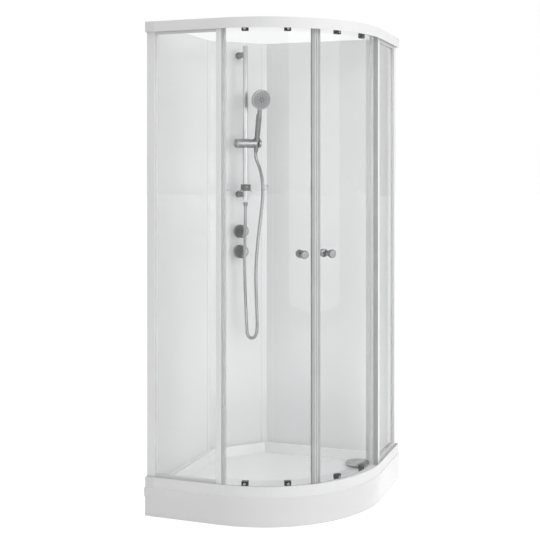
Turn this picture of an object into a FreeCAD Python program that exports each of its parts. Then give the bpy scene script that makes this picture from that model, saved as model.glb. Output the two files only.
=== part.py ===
import FreeCAD, Part
import math
import os
import Sketcher
from FreeCAD import Placement, Rotation, Vector

# Quadrant shower enclosure, 900 x 900 mm, about 2.1 m tall.
# Frame: millimetres, +Z up, origin on the floor in the middle of the footprint.
# The rounded corner with the two sliding doors is at +X -Y. The walls stand at -X and +Y,
# and a narrow wall panel with the shower set closes the corner between them.
# Everything is mirrored about the upright plane through the rounded corner (x = -y).

doc = FreeCAD.newDocument("quadrant_shower_enclosure")
sheet = doc.addObject("Spreadsheet::Sheet", "Sizes")


class Size:
    """A length or an angle that carries both its value and the formula it comes from."""

    def __init__(self, value, formula):
        self.value = float(value)
        self.formula = formula

    def joined(self, sign, other, value):
        text = other.formula if isinstance(other, Size) else repr(float(other))
        return Size(value, "(%s %s %s)" % (self.formula, sign, text))

    def __add__(self, other):
        return self.joined("+", other, self.value + number(other))

    def __sub__(self, other):
        return self.joined("-", other, self.value - number(other))

    def __mul__(self, other):
        return self.joined("*", other, self.value * number(other))

    def __truediv__(self, other):
        return self.joined("/", other, self.value / number(other))

    def __neg__(self):
        return Size(-self.value, "(-1 * %s)" % self.formula)


def number(item):
    return item.value if isinstance(item, Size) else float(item)


def cosine(angle):
    return Size(math.cos(math.radians(angle.value)), "cos(%s * 1 deg)" % angle.formula)


def sine(angle):
    return Size(math.sin(math.radians(angle.value)), "sin(%s * 1 deg)" % angle.formula)


DRIVING = [
    # footprint and heights
    ("tray_half", 450), ("corner_radius", 550), ("total_height", 2104),
    ("lip_bottom", 84), ("lip_top", 124), ("lip_edge_round", 3),
    # shower tray
    ("basin_front_inset", 68), ("basin_wall_inset", 42), ("basin_draft", 14),
    ("basin_floor", 78), ("floor_thickness", 8), ("rim_skin", 6), ("rim_rib", 8),
    ("rim_top_thickness", 18), ("ledge_overlap", 1),
    ("ledge_height", 112), ("ledge_inset", 3), ("drain_side_inset", 172),
    ("drain_back_inset", 115),
    ("drain_hole", 45), ("basin_corner_inset", 34),
    # rails
    ("rail_inset", 3), ("rail_rebate", 16), ("rail_height", 44), ("rail_depth", 59),
    ("rail_wall", 3),
    ("cap_length", 41), ("cap_depth", 43), ("spigot_length", 10), ("fit_gap", 0.3),
    ("cap_round", 2),
    # posts, jambs and fixed glass
    ("post_face_inset", 16), ("post_outer_inset", 6), ("post_inner_inset", 42),
    ("post_depth", 30), ("post_lip", 12), ("post_step_inset", 15), ("jamb_start", 2),
    ("jamb_width", 22), ("jamb_depth", 24), ("glass_thickness", 5), ("glass_inset", 10),
    ("groove_depth", 8),
    ("slot_gap", 0.3), ("bead_height", 26), ("bead_inset", 3), ("bead_depth", 13),
    ("bead_slot", 4),
    # walls
    ("wall_inset", 13), ("wall_thickness", 4), ("corner_panel_half", 152.01133),
    ("flange_length", 30),
    ("flange_thickness", 1.5), ("web_half", 6), ("panel_gap", 0.15),
    # sliding doors: radii from the centre of the rounded corner, angles from the diagonal
    ("door_set_in", 55), ("door_glass_clear", 4), ("glass_start_angle", 1.1),
    ("glass_end_angle", 46), ("strip_start_angle", 0.1), ("strip_end_angle", 2.2),
    ("strip_inside", 4), ("strip_outside", 6), ("edge_seal_inside", 3.5),
    ("edge_seal_outside", 4.6), ("edge_seal_angle", 1.4), ("edge_seal_lip", 0.25), ("drip_outside", 1.4),
    ("drip_clear", 0.6),
    # rollers
    ("roller_angle", 14), ("roller_spread", 21), ("wheel_radius", 10.5), ("wheel_width", 7),
    ("axle_radius", 3), ("axle_end", 1), ("wheel_bevel", 1), ("axle_gap", 0.05),
    ("arm_inside", 16), ("arm_thickness", 4),
    ("arm_width", 18), ("block_width", 28), ("block_height", 20), ("block_clear", 2),
    ("bolt_radius", 3), ("bolt_hole", 4), ("bolt_head", 5.5),
    ("bolt_head_thickness", 1.8), ("stop_distance", 180.5), ("stop_length", 18), ("stop_inset", 6),
    # door knobs
    ("knob_angle", 7), ("knob_height", 1120), ("knob_radius", 17.5), ("knob_reach", 35),
    ("knob_disc", 13), ("knob_waist", 8), ("knob_foot", 12), ("knob_stud", 4),
    ("knob_foot_height", 5), ("knob_flare", 3), ("knob_bevel", 1.5), ("knob_seat", 0.1),
    # riser rail and its brackets, seen from the corner panel
    ("riser_distance", 84), ("riser_width", 24), ("riser_thickness", 12),
    ("riser_drop", 39), ("riser_outlet", 5.5), ("riser_collar_inset", 2.5),
    ("riser_rise", 37), ("riser_round", 4), ("riser_taper", 16),
    ("riser_groove_width", 3), ("riser_groove_depth", 1.2), ("riser_groove_offset", 6),
    ("upper_bracket_drop", 66), ("bracket_over_mixer", 182), ("bracket_radius", 14),
    ("bracket_flange", 18), ("bracket_flange_thickness", 5),
    # slider, cradle and handset
    ("slider_height", 1604), ("slider_distance", 88), ("slider_radius", 21.5),
    ("slider_left", 38), ("slider_right", 30), ("slider_knob_length", 19),
    ("slider_knob_bevel", 4), ("cradle_end", 75), ("handset_offset", 57),
    ("handset_lean", 12), ("cradle_cone_top", 12.9), ("cradle_cone_bottom", 11.3),
    ("cradle_slot", 15.4), ("hand_cone_bottom", 10.9), ("hand_cone_top", 12.5),
    ("collar_radius", 14.2), ("collar_height", 22), ("handle_radius", 13.4),
    ("handle_top", 146), ("neck_radius", 9), ("head_height", 217), ("head_radius", 49),
    ("head_depth", 20), ("head_back", 4), ("head_edge", 2), ("face_radius", 43.5),
    ("face_thickness", 4), ("collar_length", 5), ("handle_root", 12.2), ("handle_shoulder", 8),
    ("handle_bevel", 3), ("neck_overlap", 10), ("head_crown", 22.05), ("head_shoulder", 38.22),
    ("shoulder_depth", 4), ("rim_depth", 10), ("rim_bevel", 1.5),
    ("lug_width", 9), ("lug_reach", 50.5), ("lug_thickness", 2.5),
    # hose
    ("hose_radius", 7.5), ("nut_length", 20), ("nut_radius", 11), ("nut_grip", 8),
    ("nut_wall", 1), ("hand_nut_radius", 10.5), ("hand_nut_wall", 0.6), ("hand_nut_length", 22),
    # soap dish
    ("dish_half", 125), ("dish_back", 30), ("dish_front", 112), ("dish_over_bracket", 19),
    ("dish_thickness", 3), ("dish_rise", 26), ("dish_corner", 26), ("dish_plan_round", 52),
    ("clamp_half", 19),
    ("clamp_under_dish", 3), ("clamp_height", 32), ("clamp_back", 66), ("clamp_front", 106),
    ("clamp_tab", 8), ("dish_notch_gap", 0.3), ("clamp_round", 3),
    # mixer
    ("temperature_height", 1175), ("knob_spacing", 100), ("escutcheon_radius", 33),
    ("escutcheon_thickness", 10), ("mixer_knob_radius", 31), ("mixer_knob_length", 44),
    ("mixer_knob_bevel", 4),
    ("barrel_radius", 20), ("panel_hole", 22), ("spindle_radius", 4), ("spindle_reach", 30),
    ("mixer_half_width", 28), ("mixer_back", 56), ("mixer_overhang", 34),
    ("inlet_spacing", 150), ("inlet_radius", 10.48), ("inlet_drop", 60), ("arm_radius", 14),
    ("inlet_collar", 17), ("inlet_collar_step", 1), ("trim_bevel", 3), ("button_bevel", 1),
    ("button_radius", 4.5), ("button_travel", 3), ("button_reach", 4), ("button_step", 18),
    ("button_depth", 9), ("feed_radius", 7.5),
    # waste
    ("trap_radius", 52), ("trap_bottom", 6), ("trap_wall", 3), ("waste_neck", 43),
    ("flange_radius", 58), ("flange_height", 2.5), ("flange_neck", 6), ("basket_radius", 38.4),
    ("basket_depth", 20), ("cover_radius", 60), ("cover_thickness", 3), ("cover_top", 92),
    ("cover_leg", 3), ("outlet_radius", 25), ("outlet_inset", 4), ("outlet_height", 33),
    ("outlet_collar", 14), ("outlet_collar_wall", 5), ("trap_bevel", 8), ("trap_mouth", 8),
    ("basket_bevel", 6), ("basket_wall", 2), ("basket_rim", 1.5), ("basket_rim_width", 4),
    ("basket_slot_width", 4), ("basket_slot_length", 13), ("basket_slots", 8), ("cover_legs", 3),
    ("cover_skirt", 3), ("cover_bevel", 1.5),
    # frame, feet and apron
    ("bar_width", 30), ("bar_bottom", 42), ("bar_near_gap", 88), ("bar_far_gap", 135),
    ("foot_radius", 25), ("foot_thickness", 8), ("foot_bolt", 6), ("foot_edge_inset", 80),
    ("foot_front_inset", 150), ("apron_inset", 3), ("apron_thickness", 5), ("apron_gap", 0.3),
    ("apron_floor_gap", 2), ("apron_flange", 18), ("apron_flange_thickness", 2.5),
    ("apron_flange_drop", 6), ("nut_height", 8), ("nut_across", 11),
]


class Sizes:
    """Each driving size by its name."""


d = Sizes()
for row, (alias, value) in enumerate(DRIVING, 1):
    sheet.set("A%d" % row, alias)
    sheet.set("B%d" % row, str(value))
    sheet.setAlias("B%d" % row, alias)
    setattr(d, alias, Size(value, "Sizes." + alias))
doc.recompute()

ROOT_TWO = Size(math.sqrt(2), "sqrt(2)")
kept = []

# places that follow from the tray's size and from its rounded corner
d.rail_half = d.tray_half - d.rail_inset
d.apron_face = d.tray_half - d.apron_inset
d.post_face = d.tray_half - d.post_face_inset
d.post_outer = d.tray_half - d.post_outer_inset
d.post_inner = d.tray_half - d.post_inner_inset
d.post_step = d.tray_half - d.post_step_inset
d.wall_face = d.tray_half - d.wall_inset
d.corner_offset = d.wall_face * ROOT_TWO - d.corner_panel_half
d.drain_x = d.tray_half - d.drain_side_inset
d.drain_y = d.tray_half - d.drain_back_inset
d.outlet_end = d.tray_half - d.outlet_inset
d.foot_edge = d.tray_half - d.foot_edge_inset
d.foot_front = d.tray_half - d.foot_front_inset
d.jamb_near = d.corner_radius - d.tray_half + d.jamb_start
d.jamb_far = d.jamb_near + d.jamb_width
d.stop_start = d.corner_radius - d.tray_half + d.stop_distance
d.door_glass_inner = d.corner_radius - d.door_set_in
d.wheel_track = d.door_glass_inner
d.arm_outer = d.door_glass_inner - d.arm_inside
d.strip_inner = d.door_glass_inner - d.strip_inside
d.strip_outer = d.door_glass_inner + d.glass_thickness + d.strip_outside
d.edge_seal_inner = d.door_glass_inner - d.edge_seal_inside
d.edge_seal_outer = d.door_glass_inner + d.glass_thickness + d.edge_seal_outside
d.drip_outer = d.door_glass_inner + d.glass_thickness + d.drip_outside
d.flow_height = d.temperature_height - d.knob_spacing
d.lower_bracket = d.temperature_height + d.bracket_over_mixer
d.riser_bottom = d.lower_bracket - d.riser_drop
d.dish_base = d.lower_bracket + d.dish_over_bracket
d.clamp_bottom = d.dish_base - d.clamp_under_dish
d.clamp_top = d.clamp_bottom + d.clamp_height
d.upper_bracket = d.total_height - d.upper_bracket_drop
d.riser_top = d.upper_bracket + d.riser_rise
d.bar_near = d.drain_x - d.bar_near_gap
d.bar_far = d.drain_y - d.bar_far_gap


# ---------------------------------------------------------------- helpers

def bind(item, name, size):
    """Ties a property to the sheet, or sets it when the value is fixed by the shape's kind."""
    if isinstance(size, Size):
        item.setExpression(name, size.formula)
    else:
        setattr(item, name, size)


def place(item, base, turn=None):
    """Puts an object at a point, turned about the upright axis by an angle."""
    item.Placement = Placement(Vector(*[number(c) for c in base]),
                               Rotation(Vector(0, 0, 1), number(turn) if turn else 0))
    for axis, size in zip("xyz", base):
        if isinstance(size, Size):
            item.setExpression("Placement.Base." + axis, size.formula)
    if isinstance(turn, Size):
        item.setExpression("Placement.Rotation.Angle", "%s * 1 deg" % turn.formula)


def keep(item, label):
    """Marks a finished sub-part, whose label names its file."""
    item.Label = label
    kept.append(item)
    return item


def new_body(label):
    return doc.addObject("PartDesign::Body", label)


def origin_part(body, role):
    return [item for item in body.Origin.OriginFeatures if item.Role == role][0]


def sketch_on(body, label, role="XY_Plane", height=None, rise=None, shift=None):
    """A sketch on one of the body's own planes, lifted off it by a height."""
    sketch = body.newObject("Sketcher::SketchObject", label)
    sketch.AttachmentSupport = [(origin_part(body, role), "")]
    sketch.MapMode = "FlatFace"
    for axis, size in (("x", shift), ("y", rise), ("z", height)):
        if isinstance(size, Size):
            sketch.setExpression("AttachmentOffset.Base." + axis, size.formula)
    return sketch


def tie(sketch, constraint, name, size):
    index = sketch.addConstraint(constraint)
    if isinstance(size, Size):
        sketch.renameConstraint(index, name)
        sketch.setExpression("Constraints." + name, size.formula)


def draw(sketch, points):
    """A closed outline. A point is (x, y), or (x, y, centre, radius) where an arc arrives."""
    first = sketch.GeometryCount
    edges = []
    for index, point in enumerate(points):
        start = Vector(number(points[index - 1][0]), number(points[index - 1][1]), 0)
        end = Vector(number(point[0]), number(point[1]), 0)
        if len(point) == 2:
            edges.append(Part.LineSegment(start, end))
        else:
            centre = Vector(number(point[2][0]), number(point[2][1]), 0)
            middle = ((start + end) * 0.5 - centre).normalize() * number(point[3])
            if (start - centre).cross(end - centre).z < 0:
                start, end = end, start
            edges.append(Part.Arc(start, centre + middle, end))
    sketch.addGeometry(edges, False)
    ends = []
    for index, point in enumerate(points):
        end = Vector(number(point[0]), number(point[1]), 0)
        near = (sketch.Geometry[first + index].EndPoint - end).Length < 1e-6
        ends.append(2 if near else 1)
    for index, point in enumerate(points):
        after = (index + 1) % len(points)
        sketch.addConstraint(Sketcher.Constraint(
            "Coincident", first + index, ends[index], first + after, 3 - ends[after]))
        for kind, size in (("DistanceX", point[0]), ("DistanceY", point[1])):
            tie(sketch, Sketcher.Constraint(kind, -1, 1, first + index, ends[index], number(size)),
                "%s%d" % (kind, first + index), size)
        if len(point) > 2:
            tie(sketch, Sketcher.Constraint("Radius", first + index, number(point[3])),
                "Radius%d" % (first + index), point[3])
    return sketch


def circle(sketch, x, y, radius):
    index = sketch.GeometryCount
    centre = Vector(number(x), number(y), 0)
    sketch.addGeometry(Part.Circle(centre, Vector(0, 0, 1), number(radius)), False)
    for kind, size in (("DistanceX", x), ("DistanceY", y)):
        tie(sketch, Sketcher.Constraint(kind, -1, 1, index, 3, number(size)),
            "%s%d" % (kind, index), size)
    tie(sketch, Sketcher.Constraint("Radius", index, number(radius)), "Radius%d" % index, radius)
    return sketch


def rectangle(sketch, low_x, low_y, high_x, high_y):
    return draw(sketch, [(low_x, low_y), (high_x, low_y), (high_x, high_y), (low_x, high_y)])


def feature(body, kind, sketch, name, size, other_way=False):
    item = body.newObject("PartDesign::" + kind, sketch.Name + "_" + kind.lower())
    item.Profile = sketch
    bind(item, name, size)
    item.Reversed = other_way
    return item


def pad(body, sketch, length, other_way=False):
    return feature(body, "Pad", sketch, "Length", length, other_way)


def pocket(body, sketch, depth, other_way=False):
    """Cuts a pocket and makes sure that it removed something."""
    doc.recompute()
    before = body.Shape.Volume
    item = feature(body, "Pocket", sketch, "Length", depth, other_way)
    doc.recompute()
    if body.Shape.Volume > before - 1e-6:
        raise RuntimeError("pocket %s cuts nothing" % item.Name)
    return item


FULL_TURN = 360.0


def turned(body, sketch, axis="V_Axis", kind="Revolution"):
    item = feature(body, kind, sketch, "Angle", FULL_TURN)
    item.ReferenceAxis = (sketch, [axis])
    return item


def ring_of(body, originals, count, angle):
    """Repeats features round one of the body's axes."""
    item = body.newObject("PartDesign::PolarPattern", originals[0].Name + "_pattern")
    item.Originals = originals
    item.Axis = (origin_part(body, "Z_Axis"), [""])
    bind(item, "Angle", angle)
    bind(item, "Occurrences", count)
    body.Tip = item
    return item


def round_edges(body, radius, chosen, kind="Fillet", name="Radius"):
    """Rounds or bevels the edges of the body that a test picks out."""
    doc.recompute()
    tip = body.Tip
    names = ["Edge%d" % (i + 1) for i, edge in enumerate(tip.Shape.Edges) if chosen(edge)]
    item = body.newObject("PartDesign::" + kind, tip.Name + "_" + kind.lower())
    item.Base = (tip, names)
    bind(item, "Radius" if kind == "Fillet" else "Size", radius)
    return item


def upright(edge):
    low = edge.BoundBox
    return low.ZLength > 1e-3 and low.XLength < 1e-6 and low.YLength < 1e-6


def box(label, low, high):
    """A block between two corners."""
    item = doc.addObject("Part::Box", label)
    for name, start, end in zip(("Length", "Width", "Height"), low, high):
        bind(item, name, end - start)
    place(item, low)
    return item


def cut(label, base, tool):
    item = doc.addObject("Part::Cut", label)
    item.Base = base
    item.Tool = tool
    return item


def grouped(label, items):
    item = doc.addObject("Part::Compound", label)
    item.Links = items
    return item


MIDDLE = (d.lip_top + d.total_height) / 2


def across(label, item):
    """The same piece on the other side of the diagonal plane."""
    mirrored = doc.addObject("Part::Mirroring", label)
    mirrored.Source = item
    mirrored.Normal = Vector(1, 1, 0)
    return mirrored


def upside(label, item):
    """The same piece turned over about mid-height, from the bottom rail to the top rail."""
    mirrored = doc.addObject("Part::Mirroring", label)
    mirrored.Source = item
    mirrored.Normal = Vector(0, 0, 1)
    mirrored.Base = Vector(0, 0, MIDDLE.value)
    mirrored.setExpression("Base.z", MIDDLE.formula)
    return mirrored


# ---------------------------------------------------------------- plan geometry

CENTRE_X = d.tray_half - d.corner_radius
CENTRE_Y = d.corner_radius - d.tray_half
CENTRE = (CENTRE_X, CENTRE_Y)
BASE_OF_RAIL = d.lip_top
TRACK_TOP = d.lip_top + d.rail_height - d.rail_rebate
UNDER_TOP_TRACK = d.total_height - d.rail_height + d.rail_rebate
CHANNEL_HEIGHT = d.rail_height - d.rail_rebate - d.rail_wall * 2
RAIL_END = d.rail_half - d.cap_length


def band(sketch, outer, inner, end):
    """Runs along the front, round the rounded corner and along the side, between two faces."""
    return draw(sketch, [
        (-end, -outer),
        (CENTRE_X, -outer),
        (outer, CENTRE_Y, CENTRE, outer - CENTRE_X),
        (outer, end),
        (inner, end),
        (inner, CENTRE_Y),
        (CENTRE_X, -inner, CENTRE, inner - CENTRE_X),
        (-end, -inner),
    ])


def footprint(sketch, front, wall, corner):
    """A whole plan outline: its front faces, its wall faces and its cut corner."""
    cut_point = corner * ROOT_TWO - wall
    return draw(sketch, [
        (-wall, -front),
        (CENTRE_X, -front),
        (front, CENTRE_Y, CENTRE, front - CENTRE_X),
        (front, wall),
        (-cut_point, wall),
        (-wall, cut_point),
    ])


def on_panel(lateral, distance):
    """A point by its place along the corner panel and its distance from the middle."""
    return ((lateral - distance) / ROOT_TWO, (lateral + distance) / ROOT_TWO)


TRAY_CORNER = d.corner_offset + d.wall_inset


# ---------------------------------------------------------------- tray, waste and base

def shower_tray():
    body = new_body("tray_body")
    rim = footprint(sketch_on(body, "tray_rim", height=d.lip_bottom),
                    d.tray_half, d.tray_half, TRAY_CORNER)
    pad(body, rim, d.lip_top - d.lip_bottom)
    front = d.tray_half - d.basin_front_inset
    wall = d.tray_half - d.basin_wall_inset
    corner = TRAY_CORNER - d.basin_corner_inset
    under = footprint(sketch_on(body, "tray_underside", height=d.basin_floor - d.floor_thickness),
                      front, wall, corner)
    pad(body, under, d.lip_bottom - d.basin_floor + d.floor_thickness)
    # the rim is hollow below, with its outer skin and the basin's wall left standing
    hollow = sketch_on(body, "tray_hollow", height=d.lip_top - d.rim_top_thickness)
    footprint(hollow, d.tray_half - d.rim_skin, d.tray_half - d.rim_skin, TRAY_CORNER - d.rim_skin)
    footprint(hollow, front + d.rim_rib, wall + d.rim_rib, corner + d.rim_rib)
    pocket(body, hollow, d.lip_top - d.rim_top_thickness - d.lip_bottom)
    # basin with leaning walls
    floor = footprint(sketch_on(body, "basin_bottom", height=d.basin_floor),
                      front - d.basin_draft, wall - d.basin_draft, corner - d.basin_draft)
    mouth = footprint(sketch_on(body, "basin_mouth", height=d.lip_top), front, wall, corner)
    basin = body.newObject("PartDesign::SubtractiveLoft", "basin")
    basin.Profile = floor
    basin.Sections = [mouth]
    basin.Ruled = True
    # ledge for the wall panels, lower than the lip
    ledge_wall = d.tray_half - d.ledge_inset
    ledge_corner = (TRAY_CORNER - d.ledge_inset) * ROOT_TWO - ledge_wall
    inner_corner = corner * ROOT_TWO - wall
    start = d.post_face - d.post_depth
    ledge = sketch_on(body, "wall_ledge", height=d.lip_top)
    draw(ledge, [
        (-ledge_wall, -start),
        (-wall + d.ledge_overlap, -start),
        (-wall + d.ledge_overlap, inner_corner),
        (-inner_corner, wall - d.ledge_overlap),
        (start, wall - d.ledge_overlap),
        (start, ledge_wall),
        (-ledge_corner, ledge_wall),
        (-ledge_wall, ledge_corner),
    ])
    pocket(body, ledge, d.lip_top - d.ledge_height)
    drain = circle(sketch_on(body, "drain_hole", height=d.basin_floor),
                   d.drain_x, d.drain_y, d.drain_hole)
    pocket(body, drain, d.floor_thickness)

    def outer_lip(edge):
        low = edge.BoundBox
        half = number(d.tray_half)
        shortest = number(d.post_depth) * 4
        flat = low.ZLength < 1e-6 and abs(low.ZMin - number(d.lip_top)) < 1e-3
        front = abs(low.YMin + half) < 1e-3 and low.XLength > shortest
        side = abs(low.XMax - half) < 1e-3 and low.YLength > shortest
        return flat and (front or side)

    round_edges(body, d.lip_edge_round, outer_lip)
    keep(body, "shower_tray")


def waste():
    """Trap, clamping flange, lift-out basket and cover, all on the drain's axis."""
    place_xy = (d.drain_x, d.drain_y)
    floor = d.basin_floor
    under = d.basin_floor - d.floor_thickness
    trap = new_body("trap_body")
    place(trap, (place_xy[0], place_xy[1], 0))
    draw(sketch_on(trap, "trap_section", "XZ_Plane"), [
        (0.0, d.trap_bottom),
        (d.trap_radius - d.trap_bevel, d.trap_bottom),
        (d.trap_radius, d.trap_bottom + d.trap_bevel),
        (d.trap_radius, under),
        (d.waste_neck + d.fit_gap, under),
        (d.waste_neck + d.fit_gap, under - d.trap_mouth),
        (d.trap_radius - d.trap_wall, under - d.trap_mouth),
        (d.trap_radius - d.trap_wall, d.trap_bottom + d.trap_bevel),
        (d.trap_radius - d.trap_bevel, d.trap_bottom + d.trap_wall),
        (0.0, d.trap_bottom + d.trap_wall),
    ])
    turned(trap, doc.getObject("trap_section"))
    start = d.trap_radius - d.trap_wall * 2
    pipe = sketch_on(trap, "outlet_section", "XZ_Plane", height=-(d.outlet_end - d.drain_y))
    circle(pipe, 0.0, d.outlet_height, d.outlet_radius)
    pad(trap, pipe, d.outlet_end - d.drain_y - start)
    collar = sketch_on(trap, "outlet_collar_plan", "XZ_Plane",
                       height=-(d.trap_radius + d.outlet_collar))
    circle(collar, 0.0, d.outlet_height, d.outlet_radius + d.outlet_collar_wall)
    pad(trap, collar, d.outlet_collar + d.trap_wall * 2)
    bore = sketch_on(trap, "outlet_bore", "XZ_Plane", height=-(d.outlet_end - d.drain_y))
    circle(bore, 0.0, d.outlet_height, d.outlet_radius - d.trap_wall)
    pocket(trap, bore, d.outlet_end - d.drain_y - d.trap_radius + d.trap_wall * 4, True)
    keep(trap, "waste_trap")

    flange = new_body("flange_body")
    place(flange, (place_xy[0], place_xy[1], 0))
    draw(sketch_on(flange, "flange_section", "XZ_Plane"), [
        (d.basket_radius + d.fit_gap, under - d.flange_neck),
        (d.waste_neck, under - d.flange_neck),
        (d.waste_neck, floor),
        (d.flange_radius, floor),
        (d.flange_radius - d.cover_bevel, floor + d.flange_height),
        (d.basket_radius + d.fit_gap, floor + d.flange_height),
    ])
    turned(flange, doc.getObject("flange_section"))
    keep(flange, "waste_flange")

    basket = new_body("basket_body")
    place(basket, (place_xy[0], place_xy[1], 0))
    rim_top = floor + d.flange_height + d.basket_rim
    outside_bottom = rim_top - d.basket_depth - d.basket_wall
    draw(sketch_on(basket, "basket_section", "XZ_Plane"), [
        (0.0, outside_bottom),
        (d.basket_radius - d.basket_bevel, outside_bottom),
        (d.basket_radius, outside_bottom + d.basket_bevel),
        (d.basket_radius, floor + d.flange_height),
        (d.basket_radius + d.basket_rim_width, floor + d.flange_height),
        (d.basket_radius + d.basket_rim_width, rim_top),
        (d.basket_radius - d.basket_wall, rim_top),
        (d.basket_radius - d.basket_wall, outside_bottom + d.basket_bevel + d.basket_wall / 2),
        (d.basket_radius - d.basket_bevel - d.basket_wall / 2, rim_top - d.basket_depth),
        (0.0, rim_top - d.basket_depth),
    ])
    turned(basket, doc.getObject("basket_section"))
    slot = sketch_on(basket, "basket_slot", height=rim_top)
    slot_end = d.basket_radius - d.basket_bevel - d.basket_wall
    half_slot = d.basket_slot_width / 2
    rectangle(slot, slot_end - d.basket_slot_length, -half_slot, slot_end, half_slot)
    slots = pocket(basket, slot, d.basket_depth + d.basket_wall * 2)
    ring_of(basket, [slots], d.basket_slots, FULL_TURN)
    keep(basket, "waste_strainer")

    cover = new_body("cover_body")
    place(cover, (place_xy[0], place_xy[1], 0))
    draw(sketch_on(cover, "cover_section", "XZ_Plane"), [
        (0.0, d.cover_top - d.cover_thickness),
        (d.cover_radius - d.cover_thickness, d.cover_top - d.cover_thickness),
        (d.cover_radius - d.cover_thickness, d.cover_top - d.cover_thickness - d.cover_skirt),
        (d.cover_radius, d.cover_top - d.cover_thickness - d.cover_skirt),
        (d.cover_radius, d.cover_top - d.cover_bevel),
        (d.cover_radius - d.cover_bevel, d.cover_top),
        (0.0, d.cover_top),
    ])
    turned(cover, doc.getObject("cover_section"))
    leg = sketch_on(cover, "cover_leg", height=rim_top)
    circle(leg, d.basket_radius + d.basket_rim_width / 4, 0.0, d.cover_leg)
    legs = pad(cover, leg, d.cover_top - d.cover_thickness - rim_top)
    ring_of(cover, [legs], d.cover_legs, FULL_TURN)
    keep(cover, "waste_cover")


def support_frame():
    """Two pairs of steel bars under the basin, with a levelling foot near each bar's end."""
    top = d.basin_floor - d.floor_thickness
    half_width = d.bar_width / 2
    near_end = d.foot_front + d.foot_radius
    far_end = d.foot_edge + d.foot_radius
    body = new_body("frame_body")
    bars = (
        (-far_end, -d.bar_near - half_width, near_end, -d.bar_near + half_width),
        (d.bar_near - half_width, -near_end, d.bar_near + half_width, far_end),
        (-far_end, d.bar_far - half_width, far_end, d.bar_far + half_width),
        (-d.bar_far - half_width, -far_end, -d.bar_far + half_width, far_end),
    )
    for index, corners in enumerate(bars):
        sketch = rectangle(sketch_on(body, "bar%d" % index, height=d.bar_bottom), *corners)
        pad(body, sketch, top - d.bar_bottom)
    feet = [
        (-d.foot_edge, -d.bar_near), (d.bar_near, d.foot_edge),
        (-d.bar_far, -d.foot_edge), (d.foot_edge, d.bar_far),
        (d.foot_front, -d.bar_near), (d.bar_near, -d.foot_front),
        (-d.foot_edge, d.bar_far), (-d.bar_far, d.foot_edge),
    ]
    holes = sketch_on(body, "foot_holes", height=d.bar_bottom)
    for x, y in feet:
        circle(holes, x, y, d.foot_bolt + d.fit_gap)
    pocket(body, holes, d.bar_width / 2, True)
    keep(body, "tray_support_frame")

    made = []
    for index, (x, y) in enumerate(feet):
        foot = new_body("foot%d" % index)
        place(foot, (x, y, 0))
        draw(sketch_on(foot, "foot_section%d" % index, "XZ_Plane"), [
            (0.0, 0.0),
            (d.foot_radius, 0.0),
            (d.foot_radius, d.foot_thickness),
            (d.foot_bolt, d.foot_thickness),
            (d.foot_bolt, d.bar_bottom + d.bar_width / 2),
            (0.0, d.bar_bottom + d.bar_width / 2),
        ])
        turned(foot, doc.getObject("foot_section%d" % index))
        nut = sketch_on(foot, "foot_nut%d" % index, height=d.bar_bottom - d.nut_height)
        across_flats = d.nut_across
        point = across_flats * 2 / Size(math.sqrt(3), "sqrt(3)")
        draw(nut, [
            (point, 0.0), (point / 2, across_flats), (-point / 2, across_flats),
            (-point, 0.0), (-point / 2, -across_flats), (point / 2, -across_flats),
        ])
        pad(foot, nut, d.nut_height)
        made.append(foot)
    keep(grouped("feet", made), "levelling_feet")


def apron():
    """Loose front skirt under the tray's lip, folded inward along its top."""
    body = new_body("apron_body")
    inner = d.apron_face - d.apron_thickness
    skin = band(sketch_on(body, "apron_skin", height=d.apron_floor_gap),
                d.apron_face, inner, d.apron_face)
    top = d.lip_bottom - d.apron_gap
    pad(body, skin, top - d.apron_floor_gap)
    fold = band(sketch_on(body, "apron_fold", height=top - d.apron_flange_drop),
                d.apron_face - d.apron_thickness / 2, inner - d.apron_flange, d.apron_face)
    pad(body, fold, d.apron_flange_thickness)
    keep(body, "tray_apron")


# ---------------------------------------------------------------- rails, posts and fixed glass

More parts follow.
